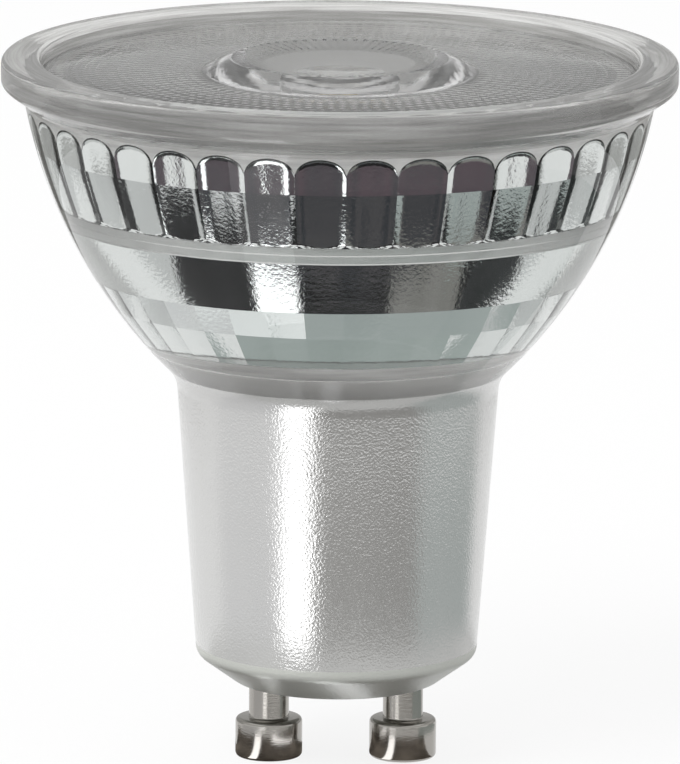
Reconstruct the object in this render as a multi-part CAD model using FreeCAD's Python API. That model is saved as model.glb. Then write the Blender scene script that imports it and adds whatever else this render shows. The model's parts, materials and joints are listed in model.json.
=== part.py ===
import FreeCAD, Part
import math
import os
from FreeCAD import Vector

# LED reflector spot with a two-pin twist-lock base, in millimetres.
# The origin is midway between the two pin tips. +Z runs up the axis to the lens and X through both pins.

# Contact pins
PIN_SPACING = 10.0
PIN_REACH = 6.1
PIN_HEAD_RADIUS = 2.5
PIN_HEAD_HEIGHT = 3.0
PIN_HEAD_EDGE = 0.3
PIN_SHANK_RADIUS = 1.5
PIN_HOLE_GAP = 0.05
RIVET_RADIUS = 2.1
RIVET_HEIGHT = 0.7
WASHER_RADIUS = 2.6
WASHER_THICKNESS = 0.5

# Outside of the pressed glass
BASE_FACE_RADIUS = 7.7
BASE_CHAMFER_HEIGHT = 2.0
BASE_CORNER_ROUND = 0.8
NECK_BOTTOM_RADIUS = 10.45
NECK_TOP_RADIUS = 12.0
NECK_LENGTH = 21.0
NECK_FILLET = 2.4
BOWL_DEPTH = 20.8
BOWL_BULGE = 1.87
RIM_RADIUS = 25.0
RIM_CHAMFER_WIDTH = 1.7
RIM_CHAMFER_HEIGHT = 1.2
RIM_HEIGHT = 1.9
RIM_ROUND = 0.4

# Inside of the pressed glass
BASE_WALL = 2.6
NECK_WALL = 1.8
BOWL_WALL = 2.1
FLOOR_ROUND = 0.6
LENS_LEDGE_WIDTH = 0.85
FLUTE_HEIGHT = 8.25
FLUTE_BREAK_HEIGHT = 4.05
FLUTE_COUNT = 36
FLUTE_TURN = 1.4
FLUTE_CROWN = 0.35
FLUTE_LAND = 0.2
FLUTE_TOP_LAND = 1.5
FLUTE_ARCH_HEIGHT = 1.3
SEAT_WALL_HEIGHT = 1.25
SEAT_WALL_DRAW_IN = 0.8
SEAT_WALL_STEP = 0.1
BOARD_LEDGE_WIDTH = 0.7
BAND_HEIGHT = 3.9
BAND_DRAW_IN = 1.3
FACET_STEP = 0.15
UPPER_FACET_HEIGHT = 2.1
LOWER_FACET_HEIGHT = 2.5
FACET_WALL = 2.6
THROAT_HEIGHT = 2.7

# Front lens
LENS_RECESS = 1.0
LENS_EDGE = 1.0
LENS_BOND = 0.2
LENS_BOND_HEIGHT = 0.8
CROWN_RADIUS = 10.2
CROWN_CREST_RADIUS = 8.1
CROWN_HEIGHT = 0.95
CROWN_DISH_RADIUS = 5.5
CROWN_DISH_DEPTH = 0.4
COLLIMATOR_FOOT_RADIUS = 4.6
COLLIMATOR_BULGE = 0.9
COLLIMATOR_GAP = 0.3
POCKET_RADIUS = 3.5
POCKET_DEPTH = 3.4
POCKET_DOME = 0.9

# Emitter board and heat spreader
LED_BOARD_THICKNESS = 1.0
LED_BOARD_GAP = 0.3
PACKAGE_SIDE = 8.4
PACKAGE_HEIGHT = 0.8
PACKAGE_CHAMFER = 0.5
PHOSPHOR_RADIUS = 3.0
PHOSPHOR_EDGE = 0.15
PHOSPHOR_DOME = 0.2
SPREADER_SHEET = 1.0
SPREADER_GAP = 0.3
SPREADER_SKIRT = 3.4
BUSH_RADIUS = 1.3
BUSH_FLANGE_RADIUS = 1.9
BUSH_FLANGE_HEIGHT = 0.5
LEAD_RADIUS = 0.4
LEAD_GAP = 0.1
LED_PIN_SPACING = 13.0
LED_PIN_PROUD = 0.6

# Driver board
BOARD_THICKNESS = 1.2
BOARD_SIDE_GAP = 0.3
BOARD_LIFT = 2.3
BOARD_TOP_GAP = 4.5
TONGUE_GAP = 0.4
NOTCH_DEPTH = 2.2
PART_GAP = 0.15
PART_LEAD_RADIUS = 0.3
PART_LEAD_BEND = 0.7
PART_LEAD_REACH = 1.5
PART_LEAD_TAIL = 0.5

# Parts on the front of the driver board, with heights above its lower edge
BULK_RADIUS = 3.15
BULK_LENGTH = 9.0
BULK_LEAD_SPACING = 2.5
BULK_LEVEL = 2.6
CAN_ROUND = 0.4
CAN_BEAD_DEPTH = 0.25
CAN_BEAD_LEVEL = 1.4
DRUM_RADIUS = 3.6
DRUM_CORE_RADIUS = 1.6
DRUM_HEIGHT = 5.6
DRUM_FLANGE = 1.0
DRUM_EDGE_GAP = 1.2
DRUM_LEAD_SPACING = 4.4
COIL_SINK = 0.4
FUSE_RADIUS = 1.2
FUSE_LENGTH = 5.0
FUSE_LEVEL = 3.4
FUSE_EDGE_GAP = 2.0

# Parts on the back of the driver board
COLUMN_OFFSET = 3.9
FILM_WIDTH = 5.5
FILM_HEIGHT = 6.5
FILM_DEPTH = 3.6
FILM_LEVEL = 5.4
FILM_LEAD_SPACING = 3.0
OUTPUT_RADIUS = 2.5
OUTPUT_LENGTH = 5.0
OUTPUT_LEAD_SPACING = 2.0
OUTPUT_LEVEL = 4.3
SEMICONDUCTOR_LEVEL = 13.4
BRIDGE_WIDTH = 4.0
BRIDGE_HEIGHT = 4.7
BRIDGE_DEPTH = 2.5
CHIP_WIDTH = 3.9
CHIP_HEIGHT = 4.9
CHIP_DEPTH = 1.5
CHIP_LEAD_PITCH = 1.27
CHIP_LEAD_WIDTH = 0.4
CHIP_LEAD_REACH = 1.0
CHIP_LEAD_THICKNESS = 0.2
DIODE_WIDTH = 4.3
DIODE_HEIGHT = 2.6
DIODE_DEPTH = 2.1
DIODE_LEVEL = 18.2
RESISTOR_WIDTH = 1.6
RESISTOR_HEIGHT = 2.0
RESISTOR_DEPTH = 0.6
RESISTOR_PITCH_X = 2.6
RESISTOR_PITCH_Z = 3.2
RESISTOR_LEVEL = 19.6
BODY_CHAMFER = 0.3

# Heights of the glass, worked up from the pin tips
pin_x = PIN_SPACING / 2
base_z = PIN_REACH
base_corner_z = base_z + BASE_CHAMFER_HEIGHT
shoulder_z = base_corner_z + NECK_LENGTH
mouth_z = shoulder_z + BOWL_DEPTH
rim_low_z = mouth_z + RIM_CHAMFER_HEIGHT
rim_z = rim_low_z + RIM_HEIGHT
floor_z = base_z + BASE_WALL

# Heights inside the glass, worked down from the rim
lens_face_z = rim_z - LENS_RECESS
lens_seat_z = lens_face_z - LENS_EDGE
flute_low_z = lens_seat_z - FLUTE_HEIGHT
flute_break_z = flute_low_z + FLUTE_BREAK_HEIGHT
board_seat_z = flute_low_z - SEAT_WALL_HEIGHT
facet_top_z = board_seat_z - BAND_HEIGHT
facet_break_z = facet_top_z - UPPER_FACET_HEIGHT
facet_low_z = facet_break_z - LOWER_FACET_HEIGHT
throat_z = facet_low_z - THROAT_HEIGHT

# The bowl is an arc that swells outwards from the chord between shoulder and mouth
mouth_radius = RIM_RADIUS - RIM_CHAMFER_WIDTH
bowl_run = mouth_radius - NECK_TOP_RADIUS
bowl_chord = math.hypot(bowl_run, BOWL_DEPTH)
bowl_curve = bowl_chord ** 2 / (8 * BOWL_BULGE) + BOWL_BULGE / 2
bowl_normal = (BOWL_DEPTH / bowl_chord, -bowl_run / bowl_chord)
bowl_middle = ((NECK_TOP_RADIUS + mouth_radius) / 2, (shoulder_z + mouth_z) / 2)
bowl_centre = tuple(m - n * (bowl_curve - BOWL_BULGE) for m, n in zip(bowl_middle, bowl_normal))
bowl_swell = tuple(m + n * BOWL_BULGE for m, n in zip(bowl_middle, bowl_normal))


def bowl_radius(level):
    """Outer radius of the bowl at a height."""
    rise = level - bowl_centre[1]
    return bowl_centre[0] + math.sqrt(bowl_curve ** 2 - rise ** 2)


# Radii inside the glass
half_pitch = math.pi / FLUTE_COUNT
flute_low_radius = bowl_radius(flute_low_z) - BOWL_WALL
flute_break_radius = bowl_radius(flute_break_z) - BOWL_WALL
flute_top_radius = mouth_radius - BOWL_WALL
lens_seat_radius = flute_top_radius + LENS_LEDGE_WIDTH
lens_radius = lens_seat_radius - LENS_BOND
seat_top_radius = flute_low_radius - FLUTE_CROWN
seat_low_radius = seat_top_radius - SEAT_WALL_DRAW_IN
band_top_radius = seat_low_radius - BOARD_LEDGE_WIDTH
band_low_radius = band_top_radius - BAND_DRAW_IN
facet_top_radius = band_low_radius - FACET_STEP
facet_break_radius = bowl_radius(facet_break_z) - FACET_WALL
facet_low_radius = bowl_radius(facet_low_z) - FACET_WALL
throat_top_radius = facet_low_radius * math.cos(half_pitch) - FACET_STEP
neck_in_top_radius = NECK_TOP_RADIUS - NECK_WALL
neck_in_low_radius = NECK_BOTTOM_RADIUS - NECK_WALL


def neck_in_radius(level):
    """Inner radius of the tapered neck at a height."""
    share = (level - floor_z) / (throat_z - floor_z)
    return neck_in_low_radius + share * (neck_in_top_radius - neck_in_low_radius)


# Emitter stack
led_top_z = board_seat_z + LED_BOARD_THICKNESS
package_top_z = led_top_z + PACKAGE_HEIGHT
phosphor_top_z = package_top_z + PHOSPHOR_EDGE + PHOSPHOR_DOME
collimator_z = phosphor_top_z + COLLIMATOR_GAP
led_board_radius = seat_low_radius - LED_BOARD_GAP
plate_low_z = board_seat_z - SPREADER_SHEET
led_pin_x = LED_PIN_SPACING / 2
lead_hole = LEAD_RADIUS + LEAD_GAP

# Driver board
rivet_top_z = floor_z + WASHER_THICKNESS + RIVET_HEIGHT
board_low_z = rivet_top_z + BOARD_LIFT
board_top_z = plate_low_z - BOARD_TOP_GAP
board_face = BOARD_THICKNESS / 2
board_half = math.sqrt(neck_in_radius(board_low_z) ** 2 - board_face ** 2) - BOARD_SIDE_GAP
tongue_half = pin_x - WASHER_RADIUS - TONGUE_GAP
part_hole = PART_LEAD_RADIUS + LEAD_GAP
drum_z = board_top_z - DRUM_EDGE_GAP - DRUM_RADIUS
fuse_x = board_half - FUSE_EDGE_GAP

MARGIN = 1.0
AXIS = Vector(0, 0, 1)


def point(radius, level):
    """Point of an outline in the plane that is turned about the axis."""
    return Vector(radius, 0, level)


def line(a, b):
    return Part.makeLine(point(*a), point(*b))


def arc(a, middle, b):
    return Part.Arc(point(*a), point(*middle), point(*b)).toShape()


def dome(edge_radius, edge_z, top_z):
    """Arc from the edge of a spherical cap to its middle on the axis."""
    height = top_z - edge_z
    curve = (edge_radius ** 2 + height ** 2) / (2 * height)
    half_radius = edge_radius / 2
    half_z = top_z - curve + math.copysign(math.sqrt(curve ** 2 - half_radius ** 2), curve)
    return arc((edge_radius, edge_z), (half_radius, half_z), (0, top_z))


def turned(edges):
    """Solid turned about the lamp's axis from a closed outline of edges."""
    return Part.Face(Part.Wire(edges)).revolve(Vector(), AXIS, 360)


def turned_outline(corners):
    """Solid turned from a closed outline of straight edges."""
    return turned([line(a, b) for a, b in zip(corners, corners[1:] + corners[:1])])


def ring_edges(shape, radius, level):
    """Circular edges of a shape at a radius and height."""
    tolerance = 0.01
    found = []
    for edge in shape.Edges:
        if not isinstance(edge.Curve, Part.Circle):
            continue
        same_level = abs(edge.Curve.Center.z - level) < tolerance
        if same_level and abs(edge.Curve.Radius - radius) < tolerance:
            found.append(edge)
    return found


def soften(shape, radius, level, size):
    """Round the circular edges at a radius and height."""
    return shape.makeFillet(size, ring_edges(shape, radius, level))


def moved(shape, x=0.0, y=0.0, z=0.0):
    copy = shape.copy()
    copy.translate(Vector(x, y, z))
    return copy


def around(shape, count, first=0.0):
    """Copies of a shape spread evenly about the axis."""
    copies = []
    for step in range(count):
        copy = shape.copy()
        copy.rotate(Vector(), AXIS, first + step * 360.0 / count)
        copies.append(copy)
    return copies


def box(x0, x1, y0, y1, z0, z1):
    return Part.makeBox(x1 - x0, y1 - y0, z1 - z0, Vector(x0, y0, z0))


def cylinder(radius, start, end):
    run = end - start
    return Part.makeCylinder(radius, run.Length, start, run)


# Pressed glass body
def glass_outside():
    """Base, neck, bowl and rim as one turned form with rounded corners."""
    base_centre = (0, base_z)
    base_edge = (BASE_FACE_RADIUS, base_z)
    base_corner = (NECK_BOTTOM_RADIUS, base_corner_z)
    shoulder = (NECK_TOP_RADIUS, shoulder_z)
    mouth = (mouth_radius, mouth_z)
    rim_low = (RIM_RADIUS, rim_low_z)
    rim_edge = (RIM_RADIUS, rim_z)
    rim_centre = (0, rim_z)
    solid = turned([
        line(base_centre, base_edge),
        line(base_edge, base_corner),
        line(base_corner, shoulder),
        arc(shoulder, bowl_swell, mouth),
        line(mouth, rim_low),
        line(rim_low, rim_edge),
        line(rim_edge, rim_centre),
        line(rim_centre, base_centre),
    ])
    solid = soften(solid, NECK_BOTTOM_RADIUS, base_corner_z, BASE_CORNER_ROUND)
    solid = soften(solid, NECK_TOP_RADIUS, shoulder_z, NECK_FILLET)
    solid = soften(solid, mouth_radius, mouth_z, RIM_ROUND)
    solid = soften(solid, RIM_RADIUS, rim_low_z, RIM_ROUND)
    return soften(solid, RIM_RADIUS, rim_z, RIM_ROUND)


def flute_curve(base_radius):
    """Radius of the round of a flute that leaves a narrow land beside the next one."""
    half_width = base_radius * math.sin(half_pitch) - FLUTE_LAND / 2
    land_depth = math.sqrt(base_radius ** 2 - half_width ** 2)
    depth = land_depth - (base_radius - FLUTE_CROWN)
    return (depth ** 2 + half_width ** 2) / (2 * depth)


def flute_tool(low, high, arched):
    """Round tool that leaves one flute between two points of the wall, with an arched top end."""
    low_crest = point(low[0] - FLUTE_CROWN, low[1])
    high_crest = point(high[0] - FLUTE_CROWN, high[1])
    run = high_crest - low_crest
    run.normalize()
    outward = Vector(run.z, 0, -run.x)
    low_axis = low_crest + outward * flute_curve(low[0])
    high_axis = high_crest + outward * flute_curve(high[0])
    spindle = high_axis - low_axis
    spindle.normalize()
    corners = [low_axis, low_crest, high_crest]
    if arched:
        tip = high_crest + (run * FLUTE_ARCH_HEIGHT + outward * FLUTE_CROWN) * 2
        corners.append(tip)
        corners.append(low_axis + spindle * (tip - low_axis).dot(spindle))
    else:
        corners.append(high_axis)
    face = Part.Face(Part.makePolygon(corners + corners[:1]))
    return face.revolve(low_axis, spindle, 360)


def wall_point(low, high, level):
    """Point at a height on the straight line through two points of the wall."""
    share = (level - low[1]) / (high[1] - low[1])
    return (low[0] + share * (high[0] - low[0]), level)


def many_sided(radius, level):
    """Closed outline with one corner on the land between each pair of flutes."""
    corners = []
    for step in range(FLUTE_COUNT + 1):
        turn = math.radians(FLUTE_TURN) + 2 * half_pitch * step
        corners.append(Vector(radius * math.cos(turn), radius * math.sin(turn), level))
    return Part.makePolygon(corners)


def press_plunger():
    """Form of the inside of the glass: lens seat, flutes, board seat, band, facet rows, throat and neck."""
    flute_low = (flute_low_radius, flute_low_z)
    flute_break = (flute_break_radius, flute_break_z)
    flute_top = (flute_top_radius, lens_seat_z)
    lens_seat = cylinder(lens_seat_radius, Vector(0, 0, lens_seat_z), Vector(0, 0, rim_z + MARGIN))
    fluted = turned_outline([
        (0, flute_low_z),
        flute_low,
        flute_break,
        flute_top,
        (0, lens_seat_z),
    ])
    step_z = board_seat_z + SEAT_WALL_HEIGHT / 2
    step_radius = seat_low_radius + SEAT_WALL_DRAW_IN / 2
    board_seat = turned_outline([
        (0, board_seat_z),
        (seat_low_radius, board_seat_z),
        (step_radius - SEAT_WALL_STEP, step_z),
        (step_radius, step_z),
        (seat_top_radius, flute_low_z),
        (0, flute_low_z),
    ])
    band = turned_outline([
        (0, facet_top_z),
        (band_low_radius, facet_top_z),
        (band_top_radius, board_seat_z),
        (0, board_seat_z),
    ])
    lower = turned_outline([
        (0, floor_z),
        (neck_in_low_radius, floor_z),
        (neck_in_top_radius, throat_z),
        (throat_top_radius, facet_low_z),
        (0, facet_low_z),
    ])
    lower = soften(lower, neck_in_low_radius, floor_z, FLOOR_ROUND)

    under = wall_point(flute_low, flute_break, flute_low_z - FLUTE_LAND)
    over = wall_point(flute_low, flute_break, flute_break_z + FLUTE_LAND)
    below = wall_point(flute_break, flute_top, flute_break_z - FLUTE_LAND)
    spring = wall_point(flute_break, flute_top, lens_seat_z - FLUTE_TOP_LAND - FLUTE_ARCH_HEIGHT)
    first = FLUTE_TURN + math.degrees(half_pitch)
    fluted = fluted.cut(around(flute_tool(under, over, False), FLUTE_COUNT, first))
    fluted = fluted.cut(around(flute_tool(below, spring, True), FLUTE_COUNT, first))

    break_ring = many_sided(facet_break_radius, facet_break_z)
    upper_facets = Part.makeLoft([break_ring, many_sided(facet_top_radius, facet_top_z)], True, True)
    lower_facets = Part.makeLoft([many_sided(facet_low_radius, facet_low_z), break_ring], True, True)
    return lens_seat.fuse([fluted, board_seat, band, upper_facets, lower_facets, lower])


def glass_reflector():
    glass = glass_outside().cut(press_plunger())
    hole_radius = PIN_SHANK_RADIUS + PIN_HOLE_GAP
    holes = []
    for x in (-pin_x, pin_x):
        holes.append(cylinder(hole_radius, Vector(x, 0, base_z - MARGIN), Vector(x, 0, floor_z + MARGIN)))
    glass = glass.cut(holes)
    return soften(glass, lens_seat_radius, rim_z, RIM_ROUND)


# Front lens and its bond
def front_lens():
    """Flat lens with a dished crown on top and a collimator cone with an emitter pocket below."""
    crest_z = lens_face_z + CROWN_HEIGHT
    dish_z = crest_z - CROWN_DISH_DEPTH
    pocket_z = collimator_z + POCKET_DEPTH
    dome_low = (0, pocket_z - POCKET_DOME)
    dome_edge = (POCKET_RADIUS, pocket_z)
    pocket_edge = (POCKET_RADIUS, collimator_z)
    foot = (COLLIMATOR_FOOT_RADIUS, collimator_z)
    flank_top = (CROWN_RADIUS, lens_seat_z)
    flank_middle = (
        (COLLIMATOR_FOOT_RADIUS + CROWN_RADIUS) / 2 + COLLIMATOR_BULGE * 0.8,
        (collimator_z + lens_seat_z) / 2 - COLLIMATOR_BULGE * 0.6,
    )
    corners = [
        flank_top,
        (lens_radius, lens_seat_z),
        (lens_radius, lens_face_z),
        (CROWN_RADIUS, lens_face_z),
        (CROWN_CREST_RADIUS, crest_z),
        (CROWN_DISH_RADIUS, dish_z),
        (0, dish_z),
        dome_low,
    ]
    edges = [
        dome(POCKET_RADIUS, pocket_z, pocket_z - POCKET_DOME),
        line(dome_edge, pocket_edge),
        line(pocket_edge, foot),
        arc(foot, flank_middle, flank_top),
    ]
    edges += [line(a, b) for a, b in zip(corners, corners[1:])]
    return turned(edges)


def lens_bond_ring():
    top_z = lens_seat_z + LENS_BOND_HEIGHT
    return turned_outline([
        (lens_radius, lens_seat_z),
        (lens_seat_radius, lens_seat_z),
        (lens_seat_radius, top_z),
        (lens_radius, top_z),
    ])


# Emitter stack
def led_pin_holes(radius, low_z, high_z):
    holes = []
    for x in (-led_pin_x, led_pin_x):
        holes.append(cylinder(radius, Vector(x, 0, low_z), Vector(x, 0, high_z)))
    return holes


def led_board():
    disc = cylinder(led_board_radius, Vector(0, 0, board_seat_z), Vector(0, 0, led_top_z))
    return disc.cut(led_pin_holes(lead_hole, board_seat_z - MARGIN, led_top_z + MARGIN))


def led_package():
    half = PACKAGE_SIDE / 2
    body = box(-half, half, -half, half, led_top_z, package_top_z)
    upright = [edge for edge in body.Edges if abs(edge.tangentAt(edge.FirstParameter).z) > 0.9]
    return body.makeChamfer(PACKAGE_CHAMFER, upright)


def phosphor_disc():
    centre_low = (0, package_top_z)
    edge_low = (PHOSPHOR_RADIUS, package_top_z)
    edge_top = (PHOSPHOR_RADIUS, package_top_z + PHOSPHOR_EDGE)
    centre_top = (0, phosphor_top_z)
    return turned([
        line(centre_low, edge_low),
        line(edge_low, edge_top),
        dome(PHOSPHOR_RADIUS, edge_top[1], phosphor_top_z),
        line(centre_top, centre_low),
    ])


def heat_spreader():
    """Pressed dish: a flat plate under the emitter board with a skirt along the smooth band of the glass."""
    lean = BAND_DRAW_IN / BAND_HEIGHT
    skirt_low_z = board_seat_z - SPREADER_SKIRT
    top_radius = band_top_radius - SPREADER_GAP
    low_radius = top_radius - lean * SPREADER_SKIRT
    inner_radius = top_radius - SPREADER_SHEET - lean * SPREADER_SHEET
    dish = turned_outline([
        (0, plate_low_z),
        (inner_radius, plate_low_z),
        (low_radius - SPREADER_SHEET, skirt_low_z),
        (low_radius, skirt_low_z),
        (top_radius, board_seat_z),
        (0, board_seat_z),
    ])
    dish = soften(dish, inner_radius, plate_low_z, SPREADER_SHEET / 2)
    return dish.cut(led_pin_holes(BUSH_RADIUS, plate_low_z - MARGIN, board_seat_z + MARGIN))


def lead_bushes():
    flange_z = plate_low_z - BUSH_FLANGE_HEIGHT
    bush = turned_outline([
        (lead_hole, flange_z),
        (BUSH_FLANGE_RADIUS, flange_z),
        (BUSH_FLANGE_RADIUS, plate_low_z),
        (BUSH_RADIUS, plate_low_z),
        (BUSH_RADIUS, board_seat_z),
        (lead_hole, board_seat_z),
    ])
    return Part.makeCompound([moved(bush, -led_pin_x), moved(bush, led_pin_x)])


def led_pin(x):
    low_z = board_top_z - NOTCH_DEPTH + LEAD_GAP
    return cylinder(LEAD_RADIUS, Vector(x, 0, low_z), Vector(x, 0, led_top_z + LED_PIN_PROUD))


# Driver board and its parts
def front_y(depth):
    """Middle of a part of some depth that lies just in front of the board."""
    return -(board_face + PART_GAP + depth / 2)


def back_y(depth):
    return board_face + PART_GAP + depth / 2


def board_hole(x, z):
    return cylinder(part_hole, Vector(x, -board_face - MARGIN, z), Vector(x, board_face + MARGIN, z))


def can_lead_z(level):
    """Height at which the bent leads of a lying can enter the board."""
    return board_low_z + level - PART_LEAD_REACH


def fuse_lead_heights():
    low_z = board_low_z + FUSE_LEVEL
    return (low_z - PART_LEAD_REACH, low_z + FUSE_LENGTH + PART_LEAD_REACH)


def driver_board():
    """Upright board with a tongue that stands on the glass floor, notches for the leads and drilled holes."""
    board = box(-board_half, board_half, -board_face, board_face, board_low_z, board_top_z)
    tongue = box(-tongue_half, tongue_half, -board_face, board_face, floor_z, board_low_z)
    cuts = []
    for x in (-pin_x, pin_x):
        top_z = board_low_z + NOTCH_DEPTH
        cuts.append(box(x - lead_hole, x + lead_hole, -MARGIN, MARGIN, board_low_z - MARGIN, top_z))
    for x in (-led_pin_x, led_pin_x):
        low_z = board_top_z - NOTCH_DEPTH
        cuts.append(box(x - lead_hole, x + lead_hole, -MARGIN, MARGIN, low_z, board_top_z + MARGIN))
    for side in (-0.5, 0.5):
        cuts.append(board_hole(side * BULK_LEAD_SPACING, can_lead_z(BULK_LEVEL)))
        cuts.append(board_hole(COLUMN_OFFSET + side * OUTPUT_LEAD_SPACING, can_lead_z(OUTPUT_LEVEL)))
        cuts.append(board_hole(-COLUMN_OFFSET + side * FILM_LEAD_SPACING, board_low_z + FILM_LEVEL))
        cuts.append(board_hole(0.0, drum_z + side * DRUM_LEAD_SPACING))
    for z in fuse_lead_heights():
        cuts.append(board_hole(fuse_x, z))
    return board.fuse(tongue).removeSplitter().cut(cuts)


def bent_lead(start, corner, end):
    """Round lead along two straight runs at right angles, joined by a tangent arc."""
    into = (start - corner).normalize()
    out = (end - corner).normalize()
    bend_in = corner + into * PART_LEAD_BEND
    bend_out = corner + out * PART_LEAD_BEND
    centre = corner + (into + out) * PART_LEAD_BEND
    section = Part.Face(Part.Wire(Part.makeCircle(PART_LEAD_RADIUS, bend_in, into)))
    bend = section.revolve(centre, out.cross(into), 90)
    runs = [cylinder(PART_LEAD_RADIUS, start, bend_in), cylinder(PART_LEAD_RADIUS, bend_out, end)]
    return bend.fuse(runs).removeSplitter()


def lying_can(radius, length, spacing, level, x, facing):
    """Electrolytic can lying along the board, with a rolled bead and two leads bent into the board."""
    low_z = board_low_z + level
    top_z = low_z + length
    bead_z = low_z + CAN_BEAD_LEVEL
    waist = radius - CAN_BEAD_DEPTH
    can = turned_outline([
        (0, low_z),
        (radius, low_z),
        (radius, bead_z - CAN_BEAD_DEPTH),
        (waist, bead_z),
        (radius, bead_z + CAN_BEAD_DEPTH),
        (radius, top_z),
        (0, top_z),
    ])
    can = soften(can, radius, top_z, CAN_ROUND)
    can = soften(can, radius, low_z, CAN_ROUND)
    y = facing * back_y(2 * radius)
    lead_z = can_lead_z(level)
    tail_y = -facing * (board_face + PART_LEAD_TAIL)
    leads = []
    for side in (-0.5, 0.5):
        lead_x = x + side * spacing
        leads.append(bent_lead(Vector(lead_x, y, low_z), Vector(lead_x, y, lead_z), Vector(lead_x, tail_y, lead_z)))
    return moved(can, x, y).fuse(leads)


def bulk_capacitor():
    return lying_can(BULK_RADIUS, BULK_LENGTH, BULK_LEAD_SPACING, BULK_LEVEL, 0.0, -1)


def output_capacitor():
    return lying_can(OUTPUT_RADIUS, OUTPUT_LENGTH, OUTPUT_LEAD_SPACING, OUTPUT_LEVEL, COLUMN_OFFSET, 1)


def on_drum_axis(shape):
    """Stand a shape turned about Z on the front of the board at the inductor's place."""
    shape.rotate(Vector(), Vector(1, 0, 0), 90)
    return moved(shape, 0.0, -(board_face + PART_GAP), drum_z)


def inductor_core():
    drum = turned_outline([
        (0, 0),
        (DRUM_RADIUS, 0),
        (DRUM_RADIUS, DRUM_FLANGE),
        (DRUM_CORE_RADIUS, DRUM_FLANGE),
        (DRUM_CORE_RADIUS, DRUM_HEIGHT - DRUM_FLANGE),
        (DRUM_RADIUS, DRUM_HEIGHT - DRUM_FLANGE),
        (DRUM_RADIUS, DRUM_HEIGHT),
        (0, DRUM_HEIGHT),
    ])
    slots = []
    for side in (-0.5, 0.5):
        y = side * DRUM_LEAD_SPACING
        slots.append(cylinder(part_hole, Vector(0, y, -MARGIN), Vector(0, y, DRUM_FLANGE)))
    return on_drum_axis(drum.cut(slots))


def inductor_winding():
    """Copper coil between the flanges, with two tails through the near flange and the board."""
    coil_radius = DRUM_RADIUS - COIL_SINK
    coil = turned_outline([
        (DRUM_CORE_RADIUS, DRUM_FLANGE),
        (coil_radius, DRUM_FLANGE),
        (coil_radius, DRUM_HEIGHT - DRUM_FLANGE),
        (DRUM_CORE_RADIUS, DRUM_HEIGHT - DRUM_FLANGE),
    ])
    tail = PART_GAP + BOARD_THICKNESS + PART_LEAD_TAIL
    tails = []
    for side in (-0.5, 0.5):
        y = side * DRUM_LEAD_SPACING
        tails.append(cylinder(PART_LEAD_RADIUS, Vector(0, y, -tail), Vector(0, y, DRUM_FLANGE)))
    return on_drum_axis(coil.fuse(tails))


def fuse_resistor():
    """Axial resistor with swollen end caps, its leads bent into the board at both ends."""
    low_z = board_low_z + FUSE_LEVEL
    top_z = low_z + FUSE_LENGTH
    waist = FUSE_RADIUS - CAN_BEAD_DEPTH
    cap = FUSE_LENGTH / 4
    body = turned_outline([
        (0, low_z),
        (FUSE_RADIUS, low_z),
        (FUSE_RADIUS, low_z + cap),
        (waist, low_z + cap + CAN_BEAD_DEPTH),
        (waist, top_z - cap - CAN_BEAD_DEPTH),
        (FUSE_RADIUS, top_z - cap),
        (FUSE_RADIUS, top_z),
        (0, top_z),
    ])
    body = soften(body, FUSE_RADIUS, low_z, CAN_ROUND)
    body = soften(body, FUSE_RADIUS, top_z, CAN_ROUND)
    y = front_y(2 * FUSE_RADIUS)
    tail_y = board_face + PART_LEAD_TAIL
    leads = []
    for start_z, lead_z in zip((low_z, top_z), fuse_lead_heights()):
        start = Vector(fuse_x, y, start_z)
        leads.append(bent_lead(start, Vector(fuse_x, y, lead_z), Vector(fuse_x, tail_y, lead_z)))
    return moved(body, fuse_x, y).fuse(leads)


def moulded_body(width, depth, height, x, z):
    """Block body on the back of the board, with its outer edges chamfered."""
    y0 = board_face + PART_GAP
    y1 = y0 + depth
    body = box(x - width / 2, x + width / 2, y0, y1, z - height / 2, z + height / 2)
    outer = [edge for edge in body.Edges if edge.CenterOfMass.y > y1 - BODY_CHAMFER]
    return body.makeChamfer(BODY_CHAMFER, outer)


def film_capacitor():
    x = -COLUMN_OFFSET
    z = board_low_z + FILM_LEVEL
    body = moulded_body(FILM_WIDTH, FILM_DEPTH, FILM_HEIGHT, x, z)
    leads = []
    for side in (-0.5, 0.5):
        lead_x = x + side * FILM_LEAD_SPACING
        start = Vector(lead_x, -board_face - PART_LEAD_TAIL, z)
        leads.append(cylinder(PART_LEAD_RADIUS, start, Vector(lead_x, board_face + PART_GAP, z)))
    return body.fuse(leads)


def gull_leads(width, count, pitch, x, z):
    """Flat leads on both sides of a chip, stepped down to the board."""
    leads = []
    low_y = board_face
    high_y = board_face + PART_GAP + CHIP_DEPTH / 2
    half = CHIP_LEAD_WIDTH / 2
    for row in range(count):
        lead_z = z + (row - (count - 1) / 2) * pitch
        for side in (-1, 1):
            body_x = x + side * width / 2
            knee_x = body_x + side * CHIP_LEAD_REACH / 2
            toe_x = body_x + side * CHIP_LEAD_REACH
            arm = sorted((body_x, knee_x + side * CHIP_LEAD_THICKNESS / 2))
            shin = sorted((knee_x - side * CHIP_LEAD_THICKNESS / 2, knee_x + side * CHIP_LEAD_THICKNESS / 2))
            toe = sorted((knee_x - side * CHIP_LEAD_THICKNESS / 2, toe_x))
            lead = box(*arm, high_y, high_y + CHIP_LEAD_THICKNESS, lead_z - half, lead_z + half)
            leads.append(lead.fuse([
                box(*shin, low_y, high_y + CHIP_LEAD_THICKNESS, lead_z - half, lead_z + half),
                box(*toe, low_y, low_y + CHIP_LEAD_THICKNESS, lead_z - half, lead_z + half),
            ]))
    return leads


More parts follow.
